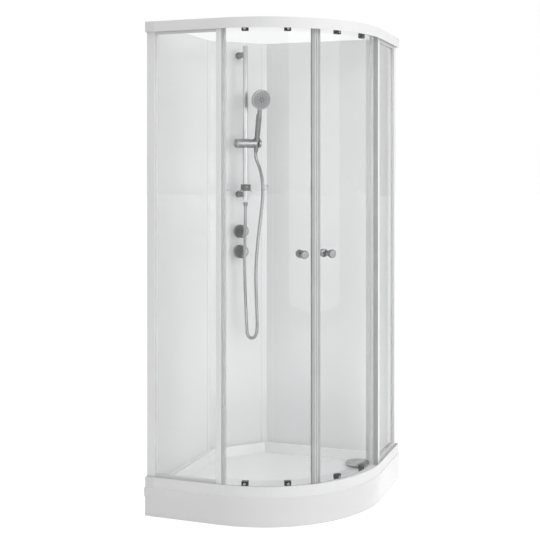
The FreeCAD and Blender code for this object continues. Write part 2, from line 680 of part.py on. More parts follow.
def rails():
    body = new_body("rail_body")
    inner = d.rail_half - d.rail_depth
    solid = band(sketch_on(body, "rail_plan", height=BASE_OF_RAIL), d.rail_half, inner, RAIL_END)
    pad(body, solid, d.rail_height)
    behind_web = d.rail_half - d.rail_wall
    past_end = RAIL_END + d.rail_wall
    channel = band(sketch_on(body, "rail_channel", height=TRACK_TOP - d.rail_wall),
                   behind_web, inner - d.rail_wall, past_end)
    pocket(body, channel, CHANNEL_HEIGHT)
    # the track lies below the front web's edge, so the web hides the feet of glass and posts
    rebate = band(sketch_on(body, "rail_rebate_plan", height=BASE_OF_RAIL + d.rail_height),
                  behind_web, inner - d.rail_wall, past_end)
    pocket(body, rebate, d.rail_rebate)
    keep(body, "bottom_rail")
    keep(upside("rail_over", body), "top_rail")

    cap = new_body("cap_body")
    block = sketch_on(cap, "cap_plan", height=BASE_OF_RAIL)
    rectangle(block, -d.rail_half, -d.rail_half, -RAIL_END, -d.rail_half + d.cap_depth)
    pad(cap, block, d.rail_height)
    round_edges(cap, d.cap_round,
                lambda e: upright(e) and e.BoundBox.XMin < 1 - number(d.rail_half)
                and e.BoundBox.YMin < 1 - number(d.rail_half))
    step = sketch_on(cap, "cap_step", height=BASE_OF_RAIL + d.rail_height)
    rectangle(step, -d.rail_half + d.rail_wall, -d.rail_half + d.rail_wall,
              -RAIL_END + 1, -d.rail_half + d.cap_depth + 1)
    pocket(cap, step, d.rail_rebate)
    spigot = sketch_on(cap, "cap_spigot", height=BASE_OF_RAIL + d.rail_wall + d.fit_gap)
    rectangle(spigot, -RAIL_END - 1, -d.rail_half + d.rail_wall + d.fit_gap,
              -RAIL_END + d.spigot_length, -d.rail_half + d.cap_depth)
    pad(cap, spigot, CHANNEL_HEIGHT - d.fit_gap * 2)
    over = upside("cap_over", cap)
    both = grouped("left_caps", [cap, over])
    keep(grouped("all_caps", [both, across("right_caps", both)]), "rail_end_caps")

    stop = box("stop_block",
               (-d.stop_start - d.stop_length, -d.rail_half + d.rail_wall,
                BASE_OF_RAIL + d.rail_wall),
               (-d.stop_start, -d.rail_half + d.rail_depth - d.stop_inset,
                TRACK_TOP - d.rail_wall))
    pair = grouped("left_stops", [stop, upside("stop_over", stop)])
    keep(grouped("all_stops", [pair, across("right_stops", pair)]), "door_stops")


FIXED_OUTER = d.post_face - d.glass_inset
FIXED_INNER = FIXED_OUTER - d.glass_thickness
UPRIGHT_LENGTH = UNDER_TOP_TRACK - TRACK_TOP


def glass_groove(body, label, start, end):
    """A groove for the fixed glass, cut the whole length of an upright."""
    groove = sketch_on(body, label, height=UNDER_TOP_TRACK)
    rectangle(groove, start, -FIXED_OUTER - d.slot_gap, end, -FIXED_INNER + d.slot_gap)
    pocket(body, groove, UPRIGHT_LENGTH)


def uprights():
    post = new_body("post_body")
    back = d.post_face - d.post_depth
    plan = draw(sketch_on(post, "post_plan", height=TRACK_TOP), [
        (-d.post_outer, -d.post_face),
        (-d.post_inner, -d.post_face),
        (-d.post_inner, -back),
        (-d.post_step, -back),
        (-d.post_step, -back + d.post_lip),
        (-d.post_outer, -back + d.post_lip),
    ])
    pad(post, plan, UPRIGHT_LENGTH)
    glass_groove(post, "post_groove", -d.post_inner - d.groove_depth, -d.post_inner + 1)
    panel = sketch_on(post, "panel_groove", height=UNDER_TOP_TRACK)
    rectangle(panel, -d.wall_face - d.wall_thickness - d.panel_gap, -back,
              -d.wall_face + d.panel_gap, -back + d.post_lip + 1)
    pocket(post, panel, UPRIGHT_LENGTH)
    keep(post, "left_wall_post")
    keep(across("post_across", post), "right_wall_post")

    jamb = new_body("jamb_body")
    plan = sketch_on(jamb, "jamb_plan", height=TRACK_TOP)
    rectangle(plan, -d.jamb_far, -d.post_face, -d.jamb_near, -d.post_face + d.jamb_depth)
    pad(jamb, plan, UPRIGHT_LENGTH)
    glass_groove(jamb, "jamb_groove", -d.jamb_far - 1, -d.jamb_far + d.groove_depth)
    round_edges(jamb, d.cap_round, lambda e: upright(e) and e.BoundBox.XMin > number(-d.jamb_near) - 1
                and e.BoundBox.YMin < number(-d.post_face) + 1)
    keep(jamb, "left_door_jamb")
    keep(across("jamb_across", jamb), "right_door_jamb")

    seat = TRACK_TOP + d.bead_slot
    glass = box("glass_block",
                (-d.post_inner - d.groove_depth + d.slot_gap, -FIXED_OUTER, seat + d.slot_gap),
                (-d.jamb_far + d.groove_depth - d.slot_gap, -FIXED_INNER,
                 UNDER_TOP_TRACK - d.bead_slot - d.slot_gap))
    keep(glass, "left_fixed_glass")
    keep(across("glass_across", glass), "right_fixed_glass")

    strip = box("bead_strip",
                (-d.post_inner, -d.post_face + d.bead_inset, TRACK_TOP),
                (-d.jamb_far, -d.post_face + d.bead_inset + d.bead_depth,
                 TRACK_TOP + d.bead_height))
    slot = box("bead_slot_block",
               (-d.post_inner - 1, -FIXED_OUTER - d.slot_gap, seat),
               (-d.jamb_far + 1, -FIXED_INNER + d.slot_gap,
                TRACK_TOP + d.bead_height + 1))
    bead = cut("bead_profile", strip, slot)
    pair = grouped("left_beads", [bead, upside("bead_over", bead)])
    keep(grouped("all_beads", [pair, across("right_beads", pair)]), "glazing_beads")


# ---------------------------------------------------------------- walls

def vertex_lateral():
    """Where a wall's face meets the corner panel's face, along the corner panel."""
    return (d.corner_offset - d.wall_face * ROOT_TWO)


def walls():
    vertex_y = d.corner_offset * ROOT_TWO - d.wall_face
    panel = box("wall_block",
                (-d.wall_face - d.wall_thickness, -d.post_face + d.post_depth + d.fit_gap,
                 d.ledge_height),
                (-d.wall_face, vertex_y - d.web_half, d.total_height))
    keep(panel, "left_wall_panel")
    keep(across("wall_across", panel), "back_wall_panel")

    body = new_body("corner_panel_body")
    place(body, on_panel(Size(0, "0"), d.corner_offset) + (0,), Size(45, "45"))
    half_length = -vertex_lateral() - d.web_half
    plate = sketch_on(body, "corner_panel_plate", "XZ_Plane")
    rectangle(plate, -half_length, d.ledge_height, half_length, d.total_height)
    for height in (d.temperature_height, d.flow_height):
        circle(plate, 0.0, height, d.panel_hole)
    circle(plate, 0.0, d.lower_bracket, d.feed_radius + d.fit_gap)
    pad(body, plate, d.wall_thickness, True)
    keep(body, "corner_wall_panel")

    # H-shaped corner profile that holds the edges of two panels at 135 degrees
    lateral = vertex_lateral()
    inner = d.flange_thickness
    back = d.wall_thickness + d.panel_gap
    outer = back + d.flange_thickness

    def bend(offset):
        return (-d.wall_face - offset, (d.corner_offset + offset) * ROOT_TWO - d.wall_face - offset)

    profile = new_body("profile_body")
    plan = draw(sketch_on(profile, "profile_plan", height=d.ledge_height), [
        (-d.wall_face + inner, vertex_y - d.flange_length),
        bend(-inner),
        on_panel(lateral + d.flange_length, d.corner_offset - inner),
        on_panel(lateral + d.flange_length, d.corner_offset),
        on_panel(lateral + d.web_half, d.corner_offset),
        on_panel(lateral + d.web_half, d.corner_offset + back),
        on_panel(lateral + d.flange_length, d.corner_offset + back),
        on_panel(lateral + d.flange_length, d.corner_offset + outer),
        bend(outer),
        (-d.wall_face - outer, vertex_y - d.flange_length),
        (-d.wall_face - back, vertex_y - d.flange_length),
        (-d.wall_face - back, vertex_y - d.web_half),
        (-d.wall_face, vertex_y - d.web_half),
        (-d.wall_face, vertex_y - d.flange_length),
    ])
    pad(profile, plan, d.total_height - d.ledge_height)
    keep(grouped("both_profiles", [profile, across("profile_across", profile)]),
         "corner_profiles")


# ---------------------------------------------------------------- doors

HALF_TURN = Size(45, "45")
GLASS_OUTER = d.door_glass_inner + d.glass_thickness
DOOR_BOTTOM = TRACK_TOP + d.door_glass_clear
DOOR_HEIGHT = UPRIGHT_LENGTH - d.door_glass_clear * 2


def polar(radius, angle):
    """A point about the rounded corner's centre, by its angle from the diagonal."""
    return (radius * cosine(HALF_TURN + angle), -(radius * sine(HALF_TURN + angle)))


def sector(sketch, inner, outer, start, end):
    middle = (0.0, 0.0)
    return draw(sketch, [
        polar(inner, start) + (middle, inner),
        polar(outer, start),
        polar(outer, end) + (middle, outer),
        polar(inner, end),
    ])


def channel_sector(sketch, inner, outer, start, end, glass_edge, open_end):
    """A strip's section with a slot that takes the edge of the door glass."""
    middle = (0.0, 0.0)
    return draw(sketch, [
        polar(inner, start) + (middle, inner),
        polar(outer, start),
        polar(outer, end) + (middle, outer),
        polar(GLASS_OUTER, end),
        polar(GLASS_OUTER, glass_edge) + (middle, GLASS_OUTER),
        polar(d.door_glass_inner, glass_edge),
        polar(d.door_glass_inner, open_end) + (middle, d.door_glass_inner),
        polar(inner, end),
    ])


def door_frame(item, turn=None, height=0):
    place(item, (CENTRE_X, CENTRE_Y, height), turn)


def doors():
    glass = new_body("door_glass_body")
    door_frame(glass)
    pane = sector(sketch_on(glass, "door_pane", height=DOOR_BOTTOM),
                  d.door_glass_inner, GLASS_OUTER, d.glass_start_angle, d.glass_end_angle)
    pad(glass, pane, DOOR_HEIGHT)

    # bolt holes: two pairs for the rollers and one for the knobs
    bolt_height = DOOR_BOTTOM + d.block_height / 2 - d.block_clear
    roller_turn = HALF_TURN - d.roller_angle - d.roller_spread
    rollers = new_body("roller_holes")
    door_frame(rollers, roller_turn)
    holes = sketch_on(rollers, "roller_hole_plan", "XZ_Plane",
                      height=d.door_glass_inner - d.glass_thickness)
    circle(holes, 0.0, bolt_height, d.bolt_hole)
    circle(holes, 0.0, MIDDLE * 2 - bolt_height, d.bolt_hole)
    drilled = pad(rollers, holes, d.glass_thickness * 3)
    ring_of(rollers, [drilled], 2, d.roller_spread)
    knob_hole = new_body("knob_hole")
    door_frame(knob_hole, HALF_TURN - d.knob_angle, d.knob_height)
    plan = sketch_on(knob_hole, "knob_hole_plan", "XZ_Plane",
                     height=d.door_glass_inner - d.glass_thickness)
    circle(plan, 0.0, 0.0, d.bolt_hole)
    pad(knob_hole, plan, d.glass_thickness * 3)
    pierced = cut("door_glass_rollers", glass, rollers)
    pair("door_glass", cut("door_glass_holes", pierced, knob_hole))

    strip = new_body("strip_body")
    door_frame(strip)
    plan = sketch_on(strip, "strip_plan", height=DOOR_BOTTOM)
    channel_sector(plan, d.strip_inner, d.strip_outer, d.strip_start_angle, d.strip_end_angle,
                   d.glass_start_angle, d.strip_end_angle)
    pad(strip, plan, DOOR_HEIGHT)
    pair("magnet_strip", strip)

    seal = new_body("edge_seal_body")
    door_frame(seal)
    plan = sketch_on(seal, "edge_seal_plan", height=DOOR_BOTTOM)
    far = d.glass_end_angle + d.edge_seal_lip
    near = d.glass_end_angle - d.edge_seal_angle
    channel_sector(plan, d.edge_seal_inner, d.edge_seal_outer, far, near, d.glass_end_angle, near)
    pad(seal, plan, DOOR_HEIGHT)
    drip = new_body("drip_seal_body")
    door_frame(drip)
    plan = sector(sketch_on(drip, "drip_plan", height=TRACK_TOP + d.drip_clear),
                  d.door_glass_inner, d.drip_outer, d.strip_end_angle, near)
    pad(drip, plan, d.door_glass_clear - d.drip_clear)
    pair("door_seals", grouped("both_seals", [seal, drip]))

    roller_bracket(roller_turn, bolt_height)
    door_knobs()
    wheels()


def pair(name, item):
    """Keeps a piece as the left door's and its mirror image as the right door's."""
    keep(item, "left_" + name)
    keep(across(name + "_across", item), "right_" + name)


WHEEL_HEIGHT = TRACK_TOP - d.rail_wall - d.fit_gap - d.wheel_radius


def roller_bracket(turn, bolt_height):
    """A block on the glass, an arm past the rail's edge and an axle into the rail's channel."""
    body = new_body("bracket_body")
    door_frame(body, turn)
    half = d.block_width / 2
    inner = d.arm_outer - d.arm_thickness
    low = DOOR_BOTTOM - d.block_clear
    block = sketch_on(body, "bracket_block", height=low)
    rectangle(block, -half, -d.door_glass_inner + d.fit_gap, half, -inner)
    pad(body, block, d.block_height)
    round_edges(body, d.cap_round, upright)
    arm = sketch_on(body, "bracket_arm", height=WHEEL_HEIGHT - d.arm_width / 2)
    rectangle(arm, -d.arm_width / 2, -d.arm_outer, d.arm_width / 2, -inner)
    pad(body, arm, low - WHEEL_HEIGHT + d.arm_width / 2 + d.block_clear)
    axle = sketch_on(body, "bracket_axle", "XZ_Plane", height=d.arm_outer)
    circle(axle, 0.0, WHEEL_HEIGHT, d.axle_radius)
    pad(body, axle, d.wheel_track - d.arm_outer + d.wheel_width / 2 + d.axle_end)
    bolt = sketch_on(body, "bracket_bolt", "XZ_Plane", height=d.arm_outer)
    circle(bolt, 0.0, bolt_height, d.bolt_radius)
    pad(body, bolt, GLASS_OUTER - d.arm_outer + d.fit_gap + d.bolt_head_thickness / 2)
    head = sketch_on(body, "bracket_bolt_head", "XZ_Plane", height=GLASS_OUTER + d.fit_gap / 2)
    circle(head, 0.0, bolt_height, d.bolt_head)
    pad(body, head, d.bolt_head_thickness)
    doc.recompute()
    second = doc.addObject("PartDesign::Body", "bracket_second")
    door_frame(second, turn + d.roller_spread)
    binder = second.newObject("PartDesign::FeatureBase", "bracket_copy")
    binder.BaseFeature = body
    low_pair = grouped("low_brackets", [body, second])
    pair("roller_brackets", grouped("four_brackets", [low_pair, upside("bracket_over", low_pair)]))


def door_knobs():
    """A spool-shaped knob on each face of the glass, joined by a stud through it."""
    made = []
    for name, face, way in (("outer", GLASS_OUTER + d.knob_seat, 1), ("inner", d.door_glass_inner, -1)):
        body = new_body(name + "_knob_body")
        door_frame(body, HALF_TURN - d.knob_angle, d.knob_height)

        def at(distance):
            return -(face + distance * way)

        reach = d.knob_reach
        disc = reach - d.knob_disc
        section = draw(sketch_on(body, name + "_knob_section", "YZ_Plane"), [
            (at(d.fit_gap), 0.0),
            (at(d.fit_gap), d.knob_foot),
            (at(d.fit_gap + d.knob_foot_height), d.knob_waist),
            (at(disc - d.knob_flare), d.knob_waist),
            (at(disc + 1), d.knob_radius),
            (at(reach - d.knob_bevel), d.knob_radius),
            (at(reach), d.knob_radius - d.knob_bevel),
            (at(reach), 0.0),
        ])
        turned(body, section, "H_Axis")
        if way == 1:
            stud = sketch_on(body, "knob_stud_plan", "XZ_Plane", height=d.door_glass_inner)
            circle(stud, 0.0, 0.0, d.knob_stud)
            pad(body, stud, d.glass_thickness + d.knob_foot_height / 2)
        made.append(body)
    pair("door_knobs", grouped("knob_pair", made))


def wheels():
    """Four plain wheels a door, on the axles of its brackets."""
    for where, spread in (("outer", True), ("inner", False)):
        angle = d.roller_angle + d.roller_spread if spread else d.roller_angle
        body = new_body(where + "_wheel_body")
        door_frame(body, HALF_TURN - angle, WHEEL_HEIGHT)
        half = d.wheel_width / 2
        bore = d.axle_radius + d.axle_gap
        section = draw(sketch_on(body, where + "_wheel_section", "YZ_Plane"), [
            (-d.wheel_track - half, bore),
            (-d.wheel_track - half, d.wheel_radius - d.wheel_bevel),
            (-d.wheel_track - half + d.wheel_bevel, d.wheel_radius),
            (-d.wheel_track + half - d.wheel_bevel, d.wheel_radius),
            (-d.wheel_track + half, d.wheel_radius - d.wheel_bevel),
            (-d.wheel_track + half, bore),
        ])
        turned(body, section, "H_Axis")
        top = upside(where + "_wheel_over", body)
        for level, item in (("bottom", body), ("top", top)):
            pair("%s_%s_wheel" % (level, where), item)


# ---------------------------------------------------------------- shower set

PANEL_TURN = Size(45, "45")


def on_corner(item, height=0, lateral=0, distance=0):
    """Puts an object in the corner panel's frame: X along it, -Y towards the cabin."""
    away = d.corner_offset - distance
    lateral = Size(0, "0") + lateral
    x, y = on_panel(lateral, away)
    place(item, (x, y, height), PANEL_TURN)


def riser():
    body = new_body("riser_body")
    on_corner(body)
    half = d.riser_width / 2
    back = -d.riser_distance + d.riser_thickness / 2
    front = -d.riser_distance - d.riser_thickness / 2
    plan = sketch_on(body, "riser_plan", height=d.riser_bottom + d.riser_taper)
    rectangle(plan, -half, front, half, back)
    pad(body, plan, d.riser_top - d.riser_bottom - d.riser_taper)
    round_edges(body, d.riser_round, upright)
    for side in (-1, 1):
        groove = sketch_on(body, "riser_groove%d" % side, height=d.riser_top)
        middle = d.riser_groove_offset * side
        rectangle(groove, middle - d.riser_groove_width / 2, front - 1,
                  middle + d.riser_groove_width / 2, front + d.riser_groove_depth)
        pocket(body, groove, d.riser_top - d.riser_bottom - d.riser_taper)
    # tapered water outlet at the bottom
    outlet = sketch_on(body, "riser_outlet", height=d.riser_bottom)
    circle(outlet, 0.0, -d.riser_distance, d.riser_outlet)
    pad(body, outlet, d.riser_taper + 1)
    collar = sketch_on(body, "riser_collar", height=d.riser_bottom + d.riser_taper / 2)
    rectangle(collar, -half + d.riser_collar_inset, front + 1, half - d.riser_collar_inset, back - 1)
    pad(body, collar, d.riser_taper / 2)
    keep(body, "riser_rail")

    made = []
    for name, height in (("upper", d.upper_bracket), ("lower", d.lower_bracket)):
        bracket = new_body(name + "_bracket_body")
        on_corner(bracket, height)
        section = draw(sketch_on(bracket, name + "_bracket_section", "YZ_Plane"), [
            (0.0, 0.0),
            (0.0, d.bracket_flange),
            (-d.bracket_flange_thickness + 1, d.bracket_flange),
            (-d.bracket_flange_thickness, d.bracket_flange - 1),
            (-d.bracket_flange_thickness, d.bracket_radius),
            (back, d.bracket_radius),
            (back, 0.0),
        ])
        turned(bracket, section, "H_Axis")
        made.append(bracket)
    keep(grouped("both_brackets", made), "riser_brackets")


def slider():
    body = new_body("slider_cylinder")
    on_corner(body, d.slider_height, 0, d.slider_distance)
    end = sketch_on(body, "slider_end", "YZ_Plane", height=-d.slider_left + d.fit_gap)
    circle(end, 0.0, 0.0, d.slider_radius)
    pad(body, end, d.slider_left + d.slider_right - d.fit_gap)
    passage = sketch_on(body, "riser_passage", height=d.slider_radius + 1)
    offset = d.slider_distance - d.riser_distance
    half_x = d.riser_width / 2 + d.fit_gap
    half_y = d.riser_thickness / 2 + d.fit_gap
    rectangle(passage, -half_x, offset - half_y, half_x, offset + half_y)
    pocket(body, passage, d.slider_radius * 2 + 2)
    keep(body, "slider_body")

    knob = new_body("slider_knob_cylinder")
    on_corner(knob, d.slider_height, 0, d.slider_distance)
    far = -d.slider_left - d.slider_knob_length
    section = draw(sketch_on(knob, "slider_knob_section", "XZ_Plane"), [
        (-d.slider_left, 0.0),
        (-d.slider_left, d.slider_radius),
        (far + d.slider_knob_bevel, d.slider_radius),
        (far, d.slider_radius - d.slider_knob_bevel),
        (far, 0.0),
    ])
    turned(knob, section, "H_Axis")
    keep(knob, "slider_lock_knob")


def lean(item, height=0):
    """Leans a piece of the handset towards the cabin, about the cradle's axis."""
    x, y = on_panel(d.handset_offset, d.corner_offset - d.slider_distance)
    tip = Rotation(Vector(1, 0, 0), number(d.handset_lean))
    item.Placement = Placement(Vector(number(x), number(y), number(d.slider_height)),
                               Rotation(Vector(0, 0, 1), number(PANEL_TURN)) * tip)
    item.setExpression("Placement.Base.x", x.formula)
    item.setExpression("Placement.Base.y", y.formula)
    item.setExpression("Placement.Base.z", d.slider_height.formula)


def cradle():
    body = new_body("cradle_body")
    lean(body)
    start = d.slider_right + d.fit_gap - d.handset_offset
    end = sketch_on(body, "cradle_end_plan", "YZ_Plane", height=start)
    circle(end, 0.0, 0.0, d.slider_radius)
    pad(body, end, d.cradle_end - d.slider_right - d.fit_gap)
    reach = d.slider_radius + 2
    slope = (d.cradle_cone_top - d.cradle_cone_bottom) / (d.slider_radius * 2)
    cone = draw(sketch_on(body, "cradle_cone", "XZ_Plane"), [
        (0.0, -reach),
        (d.cradle_cone_bottom - slope * 2, -reach),
        (d.cradle_cone_top + slope * 2, reach),
        (0.0, reach),
    ])
    turned(body, cone, kind="Groove")
    slot = sketch_on(body, "cradle_slot_plan", height=reach)
    rectangle(slot, -d.cradle_slot / 2, -reach, d.cradle_slot / 2, 0.0)
    pocket(body, slot, reach * 2)
    keep(body, "handset_cradle")


def handset():
    body = new_body("handset_shell")
    lean(body)
    reach = d.slider_radius
    head_bottom = d.head_height - d.head_radius
    section = draw(sketch_on(body, "handle_section", "XZ_Plane"), [
        (0.0, -reach - 1),
        (d.hand_cone_bottom, -reach - 1),
        (d.hand_cone_top, reach),
        (d.hand_cone_top, d.collar_height),
        (d.collar_radius, d.collar_height),
        (d.collar_radius, d.collar_height + d.collar_length),
        (d.handle_root, d.collar_height + d.collar_length + d.handle_bevel),
        (d.handle_radius, d.handle_top - d.handle_shoulder),
        (d.handle_radius - d.handle_bevel / 2, d.handle_top - 2),
        (d.neck_radius, d.handle_top),
        (d.neck_radius, head_bottom + d.head_edge * 2),
        (0.0, head_bottom + d.head_edge * 2),
    ])
    turned(body, section)
    back = d.head_back
    front = back - d.head_depth
    neck_root = d.head_radius - d.neck_overlap
    head = draw(sketch_on(body, "head_section", "YZ_Plane", rise=d.head_height), [
        (back, 0.0),
        (back, d.head_crown),
        (back - d.shoulder_depth, d.head_shoulder),
        (back - d.rim_depth, d.head_radius - 1),
        (back - d.rim_depth - d.head_edge, d.head_radius),
        (front + d.rim_bevel, d.head_radius),
        (front, d.head_radius - d.rim_bevel),
        (front, d.face_radius + d.fit_gap),
        (front + d.head_edge, d.face_radius + d.fit_gap),
        (front + d.head_edge, 0.0),
    ])
    turned(body, head, "H_Axis")
    bridge = sketch_on(body, "neck_bridge", "XZ_Plane", height=-back + 1)
    rectangle(bridge, -d.neck_radius, d.handle_top - d.head_back, d.neck_radius,
              d.head_height - neck_root)
    pad(body, bridge, d.head_depth - d.head_edge * 3)
    keep(body, "handset_body")

    face = new_body("spray_disc")
    lean(face)
    plate_back = front + d.head_edge - d.fit_gap
    plate_front = plate_back - d.face_thickness
    section = draw(sketch_on(face, "face_section", "YZ_Plane", rise=d.head_height), [
        (plate_back, 0.0),
        (plate_back, d.face_radius),
        (plate_front + 1, d.face_radius),
        (plate_front, d.face_radius - 1),
        (plate_front, 0.0),
    ])
    turned(face, section, "H_Axis")
    lug = sketch_on(face, "face_lug", "XZ_Plane", height=-front + d.fit_gap)
    rectangle(lug, -d.lug_width / 2, d.head_height + d.face_radius - 2,
              d.lug_width / 2, d.head_height + d.lug_reach)
    pad(face, lug, d.lug_thickness)
    keep(face, "spray_face")


# Route of the hose in the corner panel's frame: along the panel, towards the wall, up.
# It hangs from the riser's outlet, loops below the dish and climbs to the handset.
HOSE_ROUTE = [
    (0.0, -84.0, 1298.0), (-3.0, -84.3, 1155.0), (-5.0, -84.6, 1005.0), (-1.0, -84.8, 850.0),
    (3.5, -87.4, 742.0), (5.0, -89.5, 686.0), (14.0, -97.5, 660.0), (31.5, -114.0, 660.0),
    (42.0, -124.5, 686.0), (43.0, -127.2, 742.0), (37.5, -128.8, 844.0), (32.8, -130.0, 980.0),
    (41.5, -131.5, 1112.0), (57.0, -130.0, 1232.0), (72.0, -128.0, 1332.0),
    (76.5, -119.0, 1412.0), (75.0, -95.0, 1472.0), (66.0, -75.5, 1515.0),
]
HOSE_LEAD = 22.0


def along_handset(height):
    """A point on the handset's axis, in the corner panel's frame."""
    angle = math.radians(number(d.handset_lean))
    return (number(d.handset_offset), -number(d.slider_distance) - height * math.sin(angle),
            number(d.slider_height) + height * math.cos(angle))


def hose():
    """Nuts and hose. The tube is straight runs joined by tangent arcs."""
    nut = new_body("lower_nut_cone")
    on_corner(nut, 0, 0, d.riser_distance)
    top = d.riser_bottom
    section = draw(sketch_on(nut, "lower_nut_section", "XZ_Plane"), [
        (0.0, top),
        (d.nut_radius, top),
        (d.nut_radius, top - d.nut_grip),
        (d.hose_radius + d.nut_wall, top - d.nut_length),
        (0.0, top - d.nut_length),
    ])
    turned(nut, section)
    keep(nut, "lower_hose_nut")

    nut = new_body("upper_nut_cone")
    lean(nut)
    top = -d.slider_radius - 1
    section = draw(sketch_on(nut, "upper_nut_section", "XZ_Plane"), [
        (0.0, top),
        (d.hand_nut_radius, top),
        (d.hand_nut_radius, top - d.nut_grip),
        (d.hose_radius + d.hand_nut_wall, top - d.hand_nut_length),
        (0.0, top - d.hand_nut_length),
    ])
    turned(nut, section)
    keep(nut, "upper_hose_nut")

    end = number(top - d.hand_nut_length)
    points = [Vector(*point) for point in HOSE_ROUTE]
    points += [Vector(*along_handset(end - HOSE_LEAD)), Vector(*along_handset(end))]
    edges, length, radii = [], 0.0, []
    start = points[0]
    for before, corner, after in zip(points, points[1:], points[2:]):
        into = (corner - before).normalize()
        out = (after - corner).normalize()
        half = into.getAngle(out) / 2
        setback = 0.45 * min((corner - before).Length, (after - corner).Length)
        radii.append(setback / math.tan(half))
        entry = corner - into * setback
        leave = corner + out * setback
        inward = (out - into).normalize()
        middle = corner + inward * (radii[-1] / math.cos(half) - radii[-1])
        edges.append(Part.LineSegment(start, entry).toShape())
        edges.append(Part.Arc(entry, middle, leave).toShape())
        start = leave
    edges.append(Part.LineSegment(start, points[-1]).toShape())
    path = Part.Wire(edges)
    radius = number(d.hose_radius)
    profile = Part.Wire([Part.Circle(points[0], points[1] - points[0], radius).toShape()])
    tube = path.makePipeShell([profile], True, False)
    expected = math.pi * radius ** 2 * path.Length
    print("hose length %.1f mm, volume %.1f, section x length %.1f"
          % (path.Length, tube.Volume, expected))
    print("hose radii " + " ".join("%.0f" % r for r in radii))
    item = doc.addObject("Part::Feature", "hose_tube")
    item.Shape = tube
    on_corner(item)
    keep(item, "shower_hose")


def soap_dish():
    """A clear shelf with turned-up ends that sits on a clamp on the riser."""
    base = d.dish_base
    rise = d.dish_corner
    inner = d.dish_corner - d.dish_thickness
    bend = d.dish_half - d.dish_corner
    left_middle = (-bend, base + d.dish_corner)
    right_middle = (bend, base + d.dish_corner)
    strip = new_body("dish_strip")
    on_corner(strip)
    section = draw(sketch_on(strip, "dish_section", "XZ_Plane", height=d.dish_back), [
        (-d.dish_half, base + rise),
        (-bend, base, left_middle, d.dish_corner),
        (bend, base),
        (d.dish_half, base + rise, right_middle, d.dish_corner),
        (d.dish_half - d.dish_thickness, base + rise),
        (bend, base + d.dish_thickness, right_middle, inner),
        (-bend, base + d.dish_thickness),
        (-d.dish_half + d.dish_thickness, base + rise, left_middle, inner),
    ])
    pad(strip, section, d.dish_front - d.dish_back)
    notch = sketch_on(strip, "dish_notch", height=base + d.dish_thickness)
    half = d.clamp_half + d.dish_notch_gap
    rectangle(notch, -half, -d.clamp_front - d.dish_notch_gap, half, -d.dish_back + 1)
    pocket(strip, notch, d.dish_thickness)
    corner_round = d.dish_plan_round
    plan = new_body("dish_plan")
    on_corner(plan)
    outline = sketch_on(plan, "dish_outline", height=base - 1)
    draw(outline, [
        (-d.dish_half - 1, -d.dish_back),
        (-d.dish_half - 1, -d.dish_front + corner_round),
        (-d.dish_half - 1 + corner_round, -d.dish_front,
         (-d.dish_half - 1 + corner_round, -d.dish_front + corner_round), corner_round),
        (d.dish_half + 1 - corner_round, -d.dish_front),
        (d.dish_half + 1, -d.dish_front + corner_round,
         (d.dish_half + 1 - corner_round, -d.dish_front + corner_round), corner_round),
        (d.dish_half + 1, -d.dish_back),
    ])
    pad(plan, outline, d.dish_rise + 10)
    common = doc.addObject("Part::MultiCommon", "dish_shape")
    common.Shapes = [strip, plan]
    keep(common, "soap_dish")

    clamp = new_body("clamp_body")
    on_corner(clamp)
    block = sketch_on(clamp, "clamp_plan", height=d.clamp_bottom)
    rectangle(block, -d.clamp_half, -d.clamp_front, d.clamp_half, -d.clamp_back)
    pad(clamp, block, d.clamp_top - d.clamp_bottom)
    round_edges(clamp, d.clamp_round, upright)
    tabs = sketch_on(clamp, "clamp_tabs", height=d.clamp_bottom)
    rectangle(tabs, -d.clamp_half - d.clamp_tab, -d.clamp_front + d.clamp_tab / 2,
              d.clamp_half + d.clamp_tab, -d.clamp_back - d.clamp_tab / 2)
    pad(clamp, tabs, d.dish_base - d.clamp_bottom)
    passage = sketch_on(clamp, "clamp_passage", height=d.clamp_top + 1)
    half_x = d.riser_width / 2 + d.fit_gap
    half_y = d.riser_thickness / 2 + d.fit_gap
    rectangle(passage, -half_x, -d.riser_distance - half_y, half_x, -d.riser_distance + half_y)
    pocket(clamp, passage, d.clamp_top - d.clamp_bottom + 2)
    keep(clamp, "dish_clamp")


